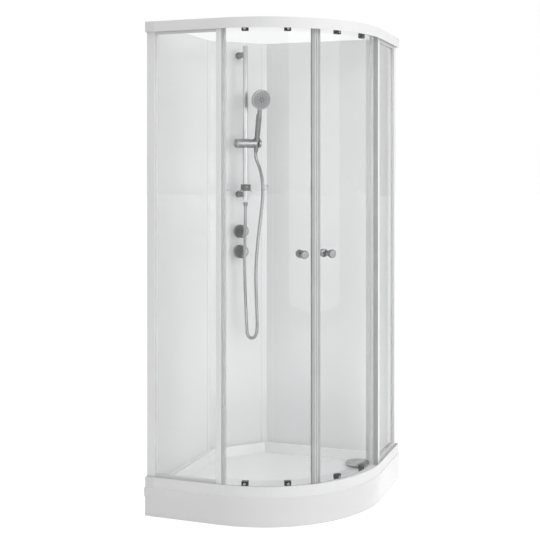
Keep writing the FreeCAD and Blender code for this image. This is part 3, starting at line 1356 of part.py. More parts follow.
def mixer():
    """Concealed mixer behind the corner panel, with its trim, knobs and stop buttons."""
    body = new_body("mixer_casting")
    on_corner(body)
    low = d.flow_height - d.mixer_overhang
    high = d.temperature_height + d.mixer_overhang
    front = d.wall_thickness
    plan = sketch_on(body, "mixer_plan", height=low)
    rectangle(plan, -d.mixer_half_width, front, d.mixer_half_width, d.mixer_back)
    pad(body, plan, high - low)
    round_edges(body, d.riser_round, upright)
    for name, height in (("temperature", d.temperature_height), ("flow", d.flow_height)):
        barrel = sketch_on(body, name + "_barrel", "XZ_Plane", height=-front - 2)
        circle(barrel, 0.0, height, d.barrel_radius)
        pad(body, barrel, front + 2 + d.escutcheon_thickness - 1)
        spindle = sketch_on(body, name + "_spindle", "XZ_Plane")
        circle(spindle, 0.0, height, d.spindle_radius)
        pad(body, spindle, d.spindle_reach)
    middle = (d.flow_height + d.temperature_height) / 2
    depth = (d.mixer_back + front) / 2
    half_span = d.inlet_spacing / 2
    arm = sketch_on(body, "inlet_arm", "YZ_Plane", height=-half_span - d.arm_radius)
    circle(arm, depth, middle, d.arm_radius)
    pad(body, arm, d.inlet_spacing + d.arm_radius * 2)
    tails = sketch_on(body, "inlet_tails", height=middle - d.inlet_drop)
    circle(tails, -half_span, depth, d.inlet_radius)
    circle(tails, half_span, depth, d.inlet_radius)
    pad(body, tails, d.inlet_drop)
    collars = sketch_on(body, "inlet_collars", height=middle - d.inlet_collar)
    circle(collars, -half_span, depth, d.arm_radius + d.inlet_collar_step)
    circle(collars, half_span, depth, d.arm_radius + d.inlet_collar_step)
    pad(body, collars, d.inlet_collar)
    keep(body, "mixer_body")

    pipe = new_body("feed_tube")
    on_corner(pipe)
    rise = sketch_on(pipe, "feed_rise", height=high)
    circle(rise, 0.0, depth, d.feed_radius)
    pad(pipe, rise, d.lower_bracket - high + d.feed_radius)
    turn = sketch_on(pipe, "feed_turn", "XZ_Plane", height=-depth)
    circle(turn, 0.0, d.lower_bracket, d.feed_radius)
    pad(pipe, turn, depth)
    keep(pipe, "feed_pipe")

    trims = []
    for name, height in (("temperature", d.temperature_height), ("flow", d.flow_height)):
        trims.append(escutcheon(name, height))
        mixer_knob(name, height)
        stop_button(name, height)
    keep(grouped("both_escutcheons", trims), "escutcheons")


def escutcheon(name, height):
    body = new_body(name + "_trim")
    on_corner(body, height)
    thick = d.escutcheon_thickness
    section = draw(sketch_on(body, name + "_trim_section", "YZ_Plane"), [
        (0.0, d.barrel_radius + d.panel_gap),
        (0.0, d.escutcheon_radius),
        (-thick + d.trim_bevel, d.escutcheon_radius),
        (-thick, d.escutcheon_radius - d.trim_bevel),
        (-thick, d.barrel_radius + d.panel_gap),
    ])
    turned(body, section, "H_Axis")
    return body


BUTTON_HOLE = d.button_radius + d.fit_gap


def mixer_knob(name, height):
    body = new_body(name + "_knob_shape")
    on_corner(body, height)
    start = -d.escutcheon_thickness - d.fit_gap
    end = start - d.mixer_knob_length
    section = draw(sketch_on(body, name + "_knob_profile", "YZ_Plane"), [
        (start, d.spindle_radius + d.axle_gap),
        (start, d.mixer_knob_radius),
        (end + d.mixer_knob_bevel, d.mixer_knob_radius),
        (end, d.mixer_knob_radius - d.mixer_knob_bevel),
        (end, 0.0),
        (-d.spindle_reach - 1, 0.0),
        (-d.spindle_reach - 1, d.spindle_radius + d.axle_gap),
    ])
    turned(body, section, "H_Axis")
    hole = sketch_on(body, name + "_button_hole", height=d.mixer_knob_radius + 1)
    circle(hole, 0.0, -d.button_step, BUTTON_HOLE)
    pocket(body, hole, d.button_depth + d.button_travel + 1.5)
    keep(body, name + "_knob")


def stop_button(name, height):
    body = new_body(name + "_button_shape")
    on_corner(body, height)
    top = d.mixer_knob_radius + d.button_reach
    section = draw(sketch_on(body, name + "_button_section", "XZ_Plane", height=d.button_step), [
        (0.0, d.mixer_knob_radius - d.button_depth),
        (d.button_radius, d.mixer_knob_radius - d.button_depth),
        (d.button_radius, top - d.button_bevel),
        (d.button_radius - d.button_bevel, top),
        (0.0, top),
    ])
    turned(body, section)
    keep(body, name + "_stop_button")


# ---------------------------------------------------------------- build and write

shower_tray()
waste()
support_frame()
apron()
rails()
uprights()
walls()
doors()
riser()
slider()
cradle()
handset()
hose()
soap_dish()
mixer()
doc.recompute()

faults = []
for item in doc.Objects:
    if "Invalid" in item.State or "Error" in item.State:
        faults.append("%s is %s" % (item.Label, item.State))
for item in kept:
    if item.Shape.isNull() or not item.Shape.isValid():
        faults.append("%s has no valid shape" % item.Label)
if faults:
    raise RuntimeError("; ".join(faults))

os.makedirs("parts", exist_ok=True)
for item in kept:
    item.Shape.exportStep("parts/%s.step" % item.Label)
print("%d sub-parts" % len(kept))
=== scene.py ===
import math

import bmesh
import bpy
from mathutils import Matrix, Vector


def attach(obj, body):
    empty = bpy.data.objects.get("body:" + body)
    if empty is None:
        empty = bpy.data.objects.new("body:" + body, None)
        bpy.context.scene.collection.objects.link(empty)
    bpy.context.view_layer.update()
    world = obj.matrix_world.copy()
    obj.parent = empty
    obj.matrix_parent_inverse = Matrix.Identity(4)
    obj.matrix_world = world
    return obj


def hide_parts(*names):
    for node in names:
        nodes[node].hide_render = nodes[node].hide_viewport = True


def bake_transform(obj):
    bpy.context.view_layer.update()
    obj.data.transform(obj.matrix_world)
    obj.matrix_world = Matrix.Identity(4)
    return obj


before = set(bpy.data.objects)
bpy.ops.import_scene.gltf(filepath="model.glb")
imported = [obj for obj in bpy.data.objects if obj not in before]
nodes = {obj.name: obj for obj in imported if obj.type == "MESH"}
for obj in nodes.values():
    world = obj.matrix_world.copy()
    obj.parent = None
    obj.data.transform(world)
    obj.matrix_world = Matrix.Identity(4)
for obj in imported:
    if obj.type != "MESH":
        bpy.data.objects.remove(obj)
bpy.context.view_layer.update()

# ---- measures, in metres and degrees

HALF = 0.45                     # half of the tray's side
CORNER_RADIUS = 0.55            # plan radius of the rounded corner
CORNER_CENTRE = CORNER_RADIUS - HALF
PANEL_OFFSET = 0.466            # from the middle to the corner panel's face
LEDGE = 0.112                   # height of the tray's ledge, which carries the wall panels
WALL_FACE = 0.437               # from the middle to the wall panels' faces
RISER_DISTANCE = 0.084          # from the corner panel to the riser's axis
RISER_TOP = 2.075
SLIDER_HEIGHT = 1.604
SLIDER_DISTANCE = 0.088         # from the corner panel to the slider's axis
HANDSET_OFFSET = 0.057          # from the riser to the handset, along the panel
HANDSET_LEAN = 12
HEAD_HEIGHT = 0.217             # from the handset's seat to the middle of its head
HEAD_FACE = 0.0183              # from the handset's axis to its spray face
HOSE_RADIUS = 0.0075
DRAIN = (0.278, 0.335)
COVER_TOP = 0.092               # top of the waste cover
DOOR_KNOB_ANGLE = 7             # from the diagonal
DOOR_KNOB_HEIGHT = 1.120
TEMPERATURE_HEIGHT = 1.175
FLOW_HEIGHT = 1.075
LEFT, RIGHT = "left", "right"
SIDES = (LEFT, RIGHT)


# ---- places and frames

def moved(x, y, z):
    return Matrix.Translation((x, y, z))


def turned(axis, angle):
    return Matrix.Rotation(math.radians(angle), 4, axis)


def panel_point(lateral, distance, height):
    """From the corner panel's frame (along it, towards the wall, up) to the row frame."""
    away = PANEL_OFFSET + distance
    return Vector(((lateral - away) / math.sqrt(2), (lateral + away) / math.sqrt(2), height))


def on_panel(lateral, distance, height):
    """A frame at the corner panel: X along it, Y towards the wall, Z up."""
    return moved(*panel_point(lateral, distance, height)) @ turned("Z", 45)


def facing_cabin(lateral, distance, height):
    """A frame on the corner panel whose Z points into the cabin and whose Y points up."""
    return on_panel(lateral, distance, height) @ turned("X", 90)


def handset_matrix():
    """The handset's own frame: Z along its axis, -Y the way its spray faces."""
    seat = on_panel(HANDSET_OFFSET, -SLIDER_DISTANCE, SLIDER_HEIGHT)
    return seat @ turned("X", HANDSET_LEAN)


def across(point):
    """The mirror image of a point on the other side of the diagonal plane."""
    return Vector((-point.y, -point.x, point.z))


def door_heading(side, angle):
    """The direction from the rounded corner's centre, for an angle from the diagonal."""
    return -45 - angle if side == LEFT else -45 + angle


def door_point(side, radius, angle, height):
    turn = math.radians(door_heading(side, angle))
    return Vector((-CORNER_CENTRE + radius * math.cos(turn),
                   CORNER_CENTRE + radius * math.sin(turn), height))


def door_frame(side, radius, angle, height, inward=False):
    """A frame on a door whose Z points away from the rounded corner's centre, or towards it."""
    return (moved(*door_point(side, radius, angle, height))
            @ turned("Z", door_heading(side, angle)) @ turned("Y", -90 if inward else 90))


# ---- node helpers

def node(tree, kind, inputs=None, **settings):
    """Adds a node, sets its options, and links or sets its inputs."""
    item = tree.nodes.new(kind)
    for name, value in settings.items():
        setattr(item, name, value)
    for name, value in (inputs or {}).items():
        socket = item.inputs[name]
        if isinstance(value, bpy.types.NodeSocket):
            tree.links.new(value, socket)
        else:
            socket.default_value = value
    return item


def new_tree(name, kind, inputs, outputs):
    """A node group with named sockets. Returns it, its inputs and its outputs."""
    tree = bpy.data.node_groups.new(name, kind)
    for in_out, sockets in (("INPUT", inputs), ("OUTPUT", outputs)):
        for label, socket_type, *value in sockets:
            socket = tree.interface.new_socket(label, in_out=in_out,
                                               socket_type="NodeSocket" + socket_type)
            if value:
                socket.default_value = value[0]
    return tree, tree.nodes.new("NodeGroupInput").outputs, tree.nodes.new("NodeGroupOutput").inputs


def shader_group(name, inputs, outputs):
    return new_tree(name, "ShaderNodeTree", inputs, outputs)


def maths(tree, operation, first, second=0.0, clamp=False):
    return node(tree, "ShaderNodeMath", {0: first, 1: second},
                operation=operation, use_clamp=clamp).outputs[0]


def mixed_colour(tree, factor, first, second, blend_type="MIX"):
    return node(tree, "ShaderNodeMix", {"Factor": factor, 6: first, 7: second},
                data_type="RGBA", blend_type=blend_type).outputs[2]


def noise(tree, place, scale, detail, roughness=0.5):
    return node(tree, "ShaderNodeTexNoise", {
        "Vector": place, "Scale": scale, "Detail": detail, "Roughness": roughness}).outputs["Fac"]


def mapped(tree, value, low=0.0, high=1.0, start=0.0, end=1.0):
    """Takes low..high to start..end and stays within them."""
    return node(tree, "ShaderNodeMapRange", {
        "Value": value, "From Min": low, "From Max": high,
        "To Min": start, "To Max": end}).outputs["Result"]


def object_place(tree):
    return node(tree, "ShaderNodeTexCoord").outputs["Object"]


def spread_roughness(tree, given, out, pattern):
    """Lets a pattern from 0 to 1 raise and lower the group's roughness."""
    centred = maths(tree, "SUBTRACT", pattern, 0.5)
    change = maths(tree, "MULTIPLY", centred, given["Roughness spread"])
    tree.links.new(maths(tree, "ADD", given["Roughness"], change, True), out["Roughness"])


FLOAT, COLOUR = "Float", "Color"


def uneven_finish():
    """Slow changes of tone and gloss, as on any large moulded or coated surface."""
    tree, given, out = shader_group("Uneven finish", [
        ("Colour", COLOUR, (0.8, 0.8, 0.8, 1)), ("Other colour", COLOUR, (0.7, 0.7, 0.7, 1)),
        ("Roughness", FLOAT, 0.3), ("Roughness spread", FLOAT, 0.1), ("Scale", FLOAT, 6.0),
    ], [("Colour", COLOUR), ("Roughness", FLOAT)])
    cloud = noise(tree, object_place(tree), given["Scale"], 4.0, 0.55)
    tree.links.new(mixed_colour(tree, mapped(tree, cloud, 0.35, 0.68), given["Colour"],
                                given["Other colour"]), out["Colour"])
    spread_roughness(tree, given, out, cloud)
    return tree


def fine_relief():
    """The small relief of powder coat, moulding or casting, as a height."""
    tree, given, out = shader_group("Fine relief", [
        ("Scale", FLOAT, 400.0), ("Waviness scale", FLOAT, 9.0), ("Waviness", FLOAT, 0.0),
    ], [("Height", FLOAT)])
    place = object_place(tree)
    grain = noise(tree, place, given["Scale"], 2.0)
    wave = noise(tree, place, given["Waviness scale"], 1.0, 0.4)
    slow = maths(tree, "MULTIPLY", wave, given["Waviness"])
    tree.links.new(maths(tree, "ADD", grain, slow), out["Height"])
    return tree


def brushed_lines():
    """Lines drawn along the height of an extrusion, as a height and a roughness."""
    tree, given, out = shader_group("Brushed lines", [
        ("Across", FLOAT, 900.0), ("Along", FLOAT, 6.0), ("Roughness", FLOAT, 0.3),
        ("Roughness spread", FLOAT, 0.15),
    ], [("Height", FLOAT), ("Roughness", FLOAT)])
    axes = node(tree, "ShaderNodeCombineXYZ", {
        "X": given["Across"], "Y": given["Across"], "Z": given["Along"]}).outputs[0]
    drawn = node(tree, "ShaderNodeVectorMath", {0: object_place(tree), 1: axes},
                 operation="MULTIPLY").outputs[0]
    lines = noise(tree, drawn, 1.0, 3.0)
    tree.links.new(lines, out["Height"])
    spread_roughness(tree, given, out, lines)
    return tree


def water_marks():
    """Faint rings left by dried drops, as a mask from 0 to 1."""
    tree, given, out = shader_group("Water marks", [
        ("Scale", FLOAT, 60.0), ("Amount", FLOAT, 0.3),
    ], [("Mask", FLOAT)])
    place = object_place(tree)
    drops = node(tree, "ShaderNodeTexVoronoi", {
        "Vector": place, "Scale": given["Scale"], "Randomness": 1.0}).outputs["Distance"]
    both_sides = maths(tree, "MULTIPLY", mapped(tree, drops, 0.16, 0.2),
                       mapped(tree, drops, 0.26, 0.2))
    patches = mapped(tree, noise(tree, place, 3.0, 2.0), 0.55, 0.75)
    marked = maths(tree, "MULTIPLY", both_sides, patches)
    tree.links.new(maths(tree, "MULTIPLY", marked, given["Amount"], True), out["Mask"])
    return tree


UNEVEN = uneven_finish()
RELIEF = fine_relief()
BRUSHED = brushed_lines()
MARKS = water_marks()


# ---- materials

class Finish:
    """A material with a Principled BSDF, and short ways to feed it from the shared groups."""

    def __init__(self, name, **values):
        self.material = bpy.data.materials.new(name)
        self.material.use_nodes = True
        self.tree = self.material.node_tree
        self.shader = self.tree.nodes["Principled BSDF"]
        self.output = self.tree.nodes["Material Output"]
        for label, value in values.items():
            self.shader.inputs[label.replace("_", " ")].default_value = value

    def group(self, tree, **inputs):
        item = self.tree.nodes.new("ShaderNodeGroup")
        item.node_tree = tree
        for label, value in inputs.items():
            item.inputs[label.replace("_", " ")].default_value = value
        return item

    def link(self, source, label):
        self.tree.links.new(source, self.shader.inputs[label])

    def uneven(self, colour, other, roughness, spread, scale):
        item = self.group(UNEVEN, Colour=colour + (1,), Other_colour=other + (1,),
                          Roughness=roughness, Roughness_spread=spread, Scale=scale)
        self.link(item.outputs["Colour"], "Base Color")
        self.link(item.outputs["Roughness"], "Roughness")
        return self

    def bump(self, height, strength, distance):
        item = node(self.tree, "ShaderNodeBump", {
            "Height": height, "Strength": strength, "Distance": distance})
        self.link(item.outputs["Normal"], "Normal")
        return self

    def relief(self, scale, strength, distance, waviness=0.0, waviness_scale=9.0):
        item = self.group(RELIEF, Scale=scale, Waviness=waviness, Waviness_scale=waviness_scale)
        return self.bump(item.outputs["Height"], strength, distance)

    def brushed(self, across, along, strength):
        lines = self.group(BRUSHED, Across=across, Along=along)
        return self.bump(lines.outputs["Height"], strength, 0.0002)

    def lets_light_through(self, colour):
        """Shadow rays pass the pane, tinted, so that the inside is lit as through real glass."""
        path = node(self.tree, "ShaderNodeLightPath")
        clear = node(self.tree, "ShaderNodeBsdfTransparent", {"Color": colour + (1,)})
        mixed = node(self.tree, "ShaderNodeMixShader", {
            0: path.outputs["Is Shadow Ray"], 1: self.shader.outputs[0], 2: clear.outputs[0]})
        self.tree.links.new(mixed.outputs[0], self.output.inputs["Surface"])
        return self


# Painted reflections: (facing, tone) stops of the bands that chrome() paints into a metal's
# colour.
PAINTED_REFLECTION_BANDS = ((0.0, 0.75), (0.28, 0.35), (0.42, 1.0), (0.58, 0.55), (0.72, 0.0), (0.9, 0.3))
DOME_PAINTED_REFLECTION = ((0.0, 0.0), (0.03, 0.2), (0.055, 0.0), (0.10, 0.3), (0.14, 0.9), (0.4, 1.0))
RISER_PAINTED_REFLECTION = ((0.0, 0.58), (0.1, 0.62), (0.2, 0.25), (0.32, 0.8), (0.48, 1.0), (0.62, 0.7),
               (0.8, 0.1))
POLISHED = (60.0, 0.05, 0.0003, 2.0, 12.0)


def coated(name, colour, other, gloss, relief, **values):
    """Two close tones, an uneven gloss (roughness, spread, scale) and a fine relief."""
    return Finish(name, **values).uneven(colour, other, *gloss).relief(*relief)


def chrome(name, dark, pale, roughness, metal=1.0, stops=PAINTED_REFLECTION_BANDS):
    """Chrome as in a studio, with a painted reflection: its colour goes through dark and pale
    bands from its middle to its edges.

    The stops are (how far the surface turns away, tone from dark to pale).
    """
    finish = Finish(name, Metallic=metal)
    # The surface's facing picks the painted reflection's tone from the bands.
    facing = node(finish.tree, "ShaderNodeLayerWeight", {"Blend": 0.5}).outputs["Facing"]
    ramp = node(finish.tree, "ShaderNodeValToRGB", {"Fac": facing})
    band = ramp.color_ramp
    while len(band.elements) < len(stops):
        band.elements.new(0.5)
    for element, (place, tone) in zip(band.elements, stops):
        element.position = place
        element.color = (dark + (pale - dark) * tone,) * 3 + (1,)
    cloud = finish.group(UNEVEN, Colour=(1, 1, 1, 1), Other_colour=(0.93, 0.94, 0.96, 1),
                         Roughness=roughness, Roughness_spread=0.08, Scale=40.0)
    finish.link(mixed_colour(finish.tree, 1.0, ramp.outputs["Color"], cloud.outputs["Colour"],
                             "MULTIPLY"), "Base Color")
    finish.link(cloud.outputs["Roughness"], "Roughness")
    return finish


def safety_glass(name, index, colour):
    """Clear glass with faint water marks and the slow waves of a tempered pane."""
    finish = Finish(name, Transmission_Weight=1.0, IOR=index, Roughness=0.0)
    finish.shader.inputs["Base Color"].default_value = colour + (1,)
    marks = finish.group(MARKS, Scale=70.0, Amount=0.1)
    finish.link(marks.outputs["Mask"], "Roughness")
    finish.relief(2.0, 0.02, 0.0005, 3.0, 2.0)
    return finish.lets_light_through((0.93, 0.932, 0.932))


def zinc_steel():
    """Zinc-coated steel with its pale crystals."""
    finish = Finish("Zinc-coated steel", Metallic=0.9)
    place = object_place(finish.tree)
    crystals = node(finish.tree, "ShaderNodeTexVoronoi", {
        "Vector": place, "Scale": 90.0}).outputs["Color"]
    tone = mapped(finish.tree, crystals, start=0.42, end=0.62)
    finish.link(node(finish.tree, "ShaderNodeCombineColor", {
        "Red": tone, "Green": tone, "Blue": tone}).outputs[0], "Base Color")
    finish.link(mapped(finish.tree, crystals, start=0.35, end=0.55), "Roughness")
    return finish.relief(500.0, 0.2, 0.0003)


def hose_sheath():
    """A smooth silver sheath over a fine spiral, which follows the hose by its UV map, coloured
    with chrome's painted reflection bands.
    """
    finish = chrome("Silver hose sheath", 0.10, 0.52, 0.24)
    place = node(finish.tree, "ShaderNodeUVMap").outputs["UV"]
    turns = node(finish.tree, "ShaderNodeTexWave", {"Vector": place, "Scale": 1.0},
                 wave_type="BANDS", bands_direction="DIAGONAL")
    return finish.bump(turns.outputs["Fac"], 0.10, 0.0003)


FINISHES = {
    "white_acrylic": coated(
        "White acrylic", (0.78, 0.78, 0.785), (0.76, 0.76, 0.765), (0.22, 0.08, 3.0),
        (260.0, 0.05, 0.0004, 6.0, 5.0), Coat_Weight=0.4, Coat_Roughness=0.06),
    "white_powder_coat": coated(
        "White powder coat", (0.84, 0.84, 0.845), (0.82, 0.82, 0.825), (0.34, 0.08, 8.0),
        (900.0, 0.12, 0.0002)),
    # The uprights are the same powder coat as the rails; their paler colour is painted light, for
    # the light on their fronts.
    "powder_coat_painted_lighter": coated(
        "White powder coat, painted lighter", (0.89, 0.89, 0.893), (0.87, 0.87, 0.873), (0.32, 0.08, 8.0),
        (900.0, 0.1, 0.0002)),
    "white_moulding": coated(
        "White moulding", (0.79, 0.79, 0.79), (0.76, 0.76, 0.76), (0.3, 0.1, 30.0),
        (1200.0, 0.1, 0.0002)),
    "wall_sheet": coated(
        "White wall sheet", (0.75, 0.753, 0.757), (0.73, 0.733, 0.737), (0.24, 0.06, 2.0),
        (30.0, 0.04, 0.0006, 8.0, 3.0), Coat_Weight=0.4, Coat_Roughness=0.12),
    "clear_glass": safety_glass("Clear safety glass", 1.45, (0.93, 0.934, 0.933)),
    # The right pane is seen along its face; its lower index cuts its glare, and its darker tint is
    # painted shade.
    "side_glass_painted_shade": safety_glass("Side glass with painted shade", 1.18, (0.86, 0.864, 0.863)),
    # The chromes carry painted reflections in their colours, banded by facing.
    "polished_chrome": chrome("Polished chrome", 0.02, 0.36, 0.09).relief(*POLISHED),
    # The mixer knobs and the dish's clamp: a painted reflection of the dark side of the cabin.
    "chrome_painted_dark_reflection": chrome("Chrome with painted dark reflection", 0.004, 0.09, 0.12, 0.7).relief(*POLISHED),
    # The escutcheons and the bolt heads: a painted reflection of the white walls.
    "chrome_painted_bright_reflection": chrome("Chrome with painted bright reflection", 0.35, 0.80, 0.16).relief(*POLISHED),
    # The knobs' domed fronts carry a painted reflection: dark in the middle, and the white room
    # round it.
    "domed_chrome": chrome("Domed chrome", 0.01, 0.72, 0.16, 0.9, DOME_PAINTED_REFLECTION).relief(*POLISHED),
    # The riser's painted reflection has bands of its own.
    "riser_chrome": chrome(
        "Riser chrome", 0.12, 0.80, 0.36, stops=RISER_PAINTED_REFLECTION).brushed(900.0, 3.0, 0.05),
    "chromed_plastic": chrome(
        "Chromed plastic", 0.03, 0.50, 0.14).relief(90.0, 0.08, 0.0003, 2.0, 20.0),
    # Finely turned: the door knobs' faces, the waste cover and the rim of the handset's head.
    "satin_chrome": coated(
        "Satin chrome", (0.40, 0.405, 0.412), (0.35, 0.355, 0.362), (0.32, 0.12, 45.0),
        (700.0, 0.08, 0.0002, 2.0, 30.0), Metallic=0.85),
    "satin_strip": Finish("Satin grey strip").uneven(
        (0.50, 0.50, 0.505), (0.45, 0.45, 0.455), 0.35, 0.1, 12.0).brushed(1200.0, 4.0, 0.1),
    "clear_rubber": coated(
        "Clear soft seal", (0.90, 0.91, 0.91), (0.86, 0.87, 0.87), (0.4, 0.15, 20.0),
        (500.0, 0.1, 0.0003), Transmission_Weight=0.35, IOR=1.2
    ).lets_light_through((0.9, 0.9, 0.9)),
    "black_moulding": coated(
        "Black moulding", (0.02, 0.02, 0.022), (0.035, 0.035, 0.036), (0.4, 0.15, 40.0),
        (900.0, 0.2, 0.0003)),
    "dark_bracket": coated(
        "Dark bracket moulding", (0.018, 0.018, 0.019), (0.03, 0.03, 0.031), (0.35, 0.15, 60.0),
        (1000.0, 0.15, 0.0002)),
    "grey_moulding": coated(
        "Grey moulding", (0.38, 0.385, 0.39), (0.33, 0.335, 0.34), (0.4, 0.15, 30.0),
        (900.0, 0.2, 0.0002)),
    "white_nylon": coated(
        "White nylon", (0.74, 0.74, 0.71), (0.66, 0.66, 0.63), (0.42, 0.15, 60.0),
        (1100.0, 0.15, 0.0002), Subsurface_Weight=0.1),
    "spray_plate": coated(
        "Pale spray plate", (0.50, 0.505, 0.515), (0.45, 0.455, 0.465), (0.35, 0.15, 60.0),
        (1500.0, 0.12, 0.0002)),
    "soft_nozzles": coated(
        "Soft dark nozzles", (0.015, 0.015, 0.017), (0.03, 0.03, 0.032), (0.6, 0.15, 90.0),
        (1800.0, 0.2, 0.0002)),
    "clear_plastic": coated(
        "Clear dish plastic", (0.86, 0.88, 0.89), (0.80, 0.82, 0.83), (0.05, 0.08, 15.0),
        (60.0, 0.04, 0.0003, 2.0, 12.0), Transmission_Weight=0.92,
        IOR=1.3).lets_light_through((0.88, 0.89, 0.9)),
    "zinc_steel": zinc_steel(),
    "cast_brass": coated(
        "Cast brass", (0.55, 0.41, 0.19), (0.42, 0.30, 0.14), (0.4, 0.25, 35.0),
        (350.0, 0.35, 0.0006), Metallic=1.0),
    "copper_tube": coated(
        "Copper tube", (0.60, 0.31, 0.20), (0.42, 0.20, 0.13), (0.3, 0.25, 25.0),
        (200.0, 0.1, 0.0003), Metallic=1.0),
    "hose_sheath": hose_sheath(),
    "sealant": coated(
        "White sealant", (0.78, 0.78, 0.775), (0.72, 0.72, 0.71), (0.45, 0.15, 60.0),
        (300.0, 0.2, 0.0005)),
}
M = {name: finish.material for name, finish in FINISHES.items()}


def both(*names):
    return [side + name for name in names for side in ("left_", "right_")]


NODE_FINISH = {
    "white_acrylic": ["shower_tray", "tray_apron"],
    "white_powder_coat": ["bottom_rail", "top_rail"],
    "powder_coat_painted_lighter": both("wall_post", "door_jamb"),
    "white_moulding": ["rail_end_caps", "glazing_beads"],
    "wall_sheet": ["left_wall_panel", "corner_wall_panel", "back_wall_panel", "corner_profiles"],
    "clear_glass": ["left_fixed_glass"] + both("door_glass"),
    "side_glass_painted_shade": ["right_fixed_glass"],
    "chrome_painted_dark_reflection": ["temperature_knob", "flow_knob", "dish_clamp"],
    "chrome_painted_bright_reflection": ["escutcheons"],
    "riser_chrome": ["riser_rail"],
    "satin_chrome": ["waste_cover"],
    "polished_chrome": ["handset_body", "upper_hose_nut", "lower_hose_nut"] + both("door_knobs"),
    "chromed_plastic": ["riser_brackets", "slider_body", "slider_lock_knob", "handset_cradle"],
    "satin_strip": both("magnet_strip"),
    "clear_rubber": both("door_seals"),
    "black_moulding": ["waste_trap", "door_stops"],
    "dark_bracket": both("roller_brackets"),
    "grey_moulding": ["waste_flange", "waste_strainer", "temperature_stop_button",
                      "flow_stop_button"],
    "white_nylon": both("top_inner_wheel", "top_outer_wheel", "bottom_inner_wheel",
                        "bottom_outer_wheel"),
    "spray_plate": ["spray_face"],
    "clear_plastic": ["soap_dish"],
    "zinc_steel": ["tray_support_frame", "levelling_feet"],
    "cast_brass": ["mixer_body"],
    "copper_tube": ["feed_pipe"],
}


for finish_name, node_names in NODE_FINISH.items():
    for node_name in node_names:
        nodes[node_name].data.materials.clear()
        nodes[node_name].data.materials.append(M[finish_name])


# ---- pieces

SHARP_ANGLE = math.radians(40)


def add_object(name, data):
    item = bpy.data.objects.new(name, data)
    bpy.context.scene.collection.objects.link(item)
    return item


def piece(name, mesh, finish, body, place=None):
    """A finished piece at the origin, riding on a body. Its mesh is first moved to its place."""
    if place is not None:
        mesh.transform(place)
    item = add_object(name, mesh)
    mesh.materials.clear()
    mesh.materials.append(M[finish])
    mesh.polygons.foreach_set("use_smooth", [True] * len(mesh.polygons))
    mesh.set_sharp_from_angle(angle=SHARP_ANGLE)
    if body:
        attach(item, body)
    return item


def finished_mesh(holder):
    """The mesh of an object with its modifiers applied. The object is removed."""
    mesh = bpy.data.meshes.new_from_object(
        holder.evaluated_get(bpy.context.evaluated_depsgraph_get()))
    bpy.data.objects.remove(holder)
    return mesh


def as_mesh(made, name, outward=True):
    """Turns a bmesh into a mesh, after pointing its faces outwards."""
    if outward:
        bmesh.ops.recalc_face_normals(made, faces=made.faces)
    mesh = bpy.data.meshes.new(name)
    made.to_mesh(mesh)
    made.free()
    return mesh


def circle(count):
    """Even directions round a circle, as (cosine, sine)."""
    angles = [2 * math.pi * step / count for step in range(count)]
    return [(math.cos(angle), math.sin(angle)) for angle in angles]


def revolved(profile, matrix=Matrix(), steps=48, closed=False):
    """A turned shape. The profile runs (radius, height) from bottom to top, or in a loop."""
    made = bmesh.new()
    rings = []
    for radius, height in profile:
        round_axis = circle(steps) if radius > 1e-6 else [(0, 0)]
        rings.append([made.verts.new(matrix @ Vector((radius * x, radius * y, height)))
                      for x, y in round_axis])
    for low, high in zip(rings, rings[1:] + (rings[:1] if closed else [])):
        for step in range(steps):
            after = (step + 1) % steps
            corners = list(dict.fromkeys([low[step % len(low)], low[after % len(low)],
                                          high[after % len(high)], high[step % len(high)]]))
            if len(corners) > 2:
                made.faces.new(corners)
    for end, flip in ((rings[0], True), (rings[-1], False)):
        if len(end) > 1 and not closed:
            made.faces.new(end[::-1] if flip else end)
    return as_mesh(made, "turned")


def bead_ring(radius, thickness, squash=1.0, steps=48, sides=8):
    """A closed bead round Z."""
    return revolved([(radius + thickness * x, thickness * squash * y) for x, y in circle(sides)],
                    Matrix(), steps, closed=True)


def skinned(rings):
    """A closed shape through rings of points, with flat ends."""
    made = bmesh.new()
    loops = [[made.verts.new(point) for point in ring] for ring in rings]
    for low, high in zip(loops, loops[1:]):
        for index in range(len(low)):
            after = (index + 1) % len(low)
            made.faces.new((low[index], low[after], high[after], high[index]))
    made.faces.new(loops[0][::-1])
    made.faces.new(loops[-1])
    return as_mesh(made, "skinned")


def joined(parts):
    """One mesh of several, each put in place by its matrix."""
    made = bmesh.new()
    for mesh, matrix in parts:
        placed = mesh.copy()
        placed.transform(matrix)
        if matrix.determinant() < 0:
            placed.flip_normals()
        made.from_mesh(placed)
        bpy.data.meshes.remove(placed)
    return as_mesh(made, "joined", outward=False)


# ---- hose

# The route of part.py, in the corner panel's frame: along the panel, towards the wall, up,
# in millimetres.
HOSE_ROUTE = [
    (0.0, -84.0, 1298.0), (-3.0, -84.3, 1155.0), (-5.0, -84.6, 1005.0), (-1.0, -84.8, 850.0),
    (3.5, -87.4, 742.0), (5.0, -89.5, 686.0), (14.0, -97.5, 660.0), (31.5, -114.0, 660.0),
    (42.0, -124.5, 686.0), (43.0, -127.2, 742.0), (37.5, -128.8, 844.0), (32.8, -130.0, 980.0),
    (41.5, -131.5, 1112.0), (57.0, -130.0, 1232.0), (72.0, -128.0, 1332.0),
    (76.5, -119.0, 1412.0), (75.0, -95.0, 1472.0), (66.0, -75.5, 1515.0),
]
BEFORE_NUT = -0.0665            # the last two points of the route, along the handset's axis
NUT_END = -0.0445
HOSE_TURNS = 250                # turns of the sheath's spiral in a metre
# From the hose's upper end to the cuts between its parts.
HOSE_CUTS = (0.195, 0.097)
# Each part's piece, and the bodies that it lies between. The first only rides on the cabin; the
# others ride on none.
HOSE_PARTS = (("hose_hanging", None), ("hose_rising", ("cabin", "slider")),
              ("hose_turning", ("slider", "cradle")), ("hose_top", ("cradle", "handset")))


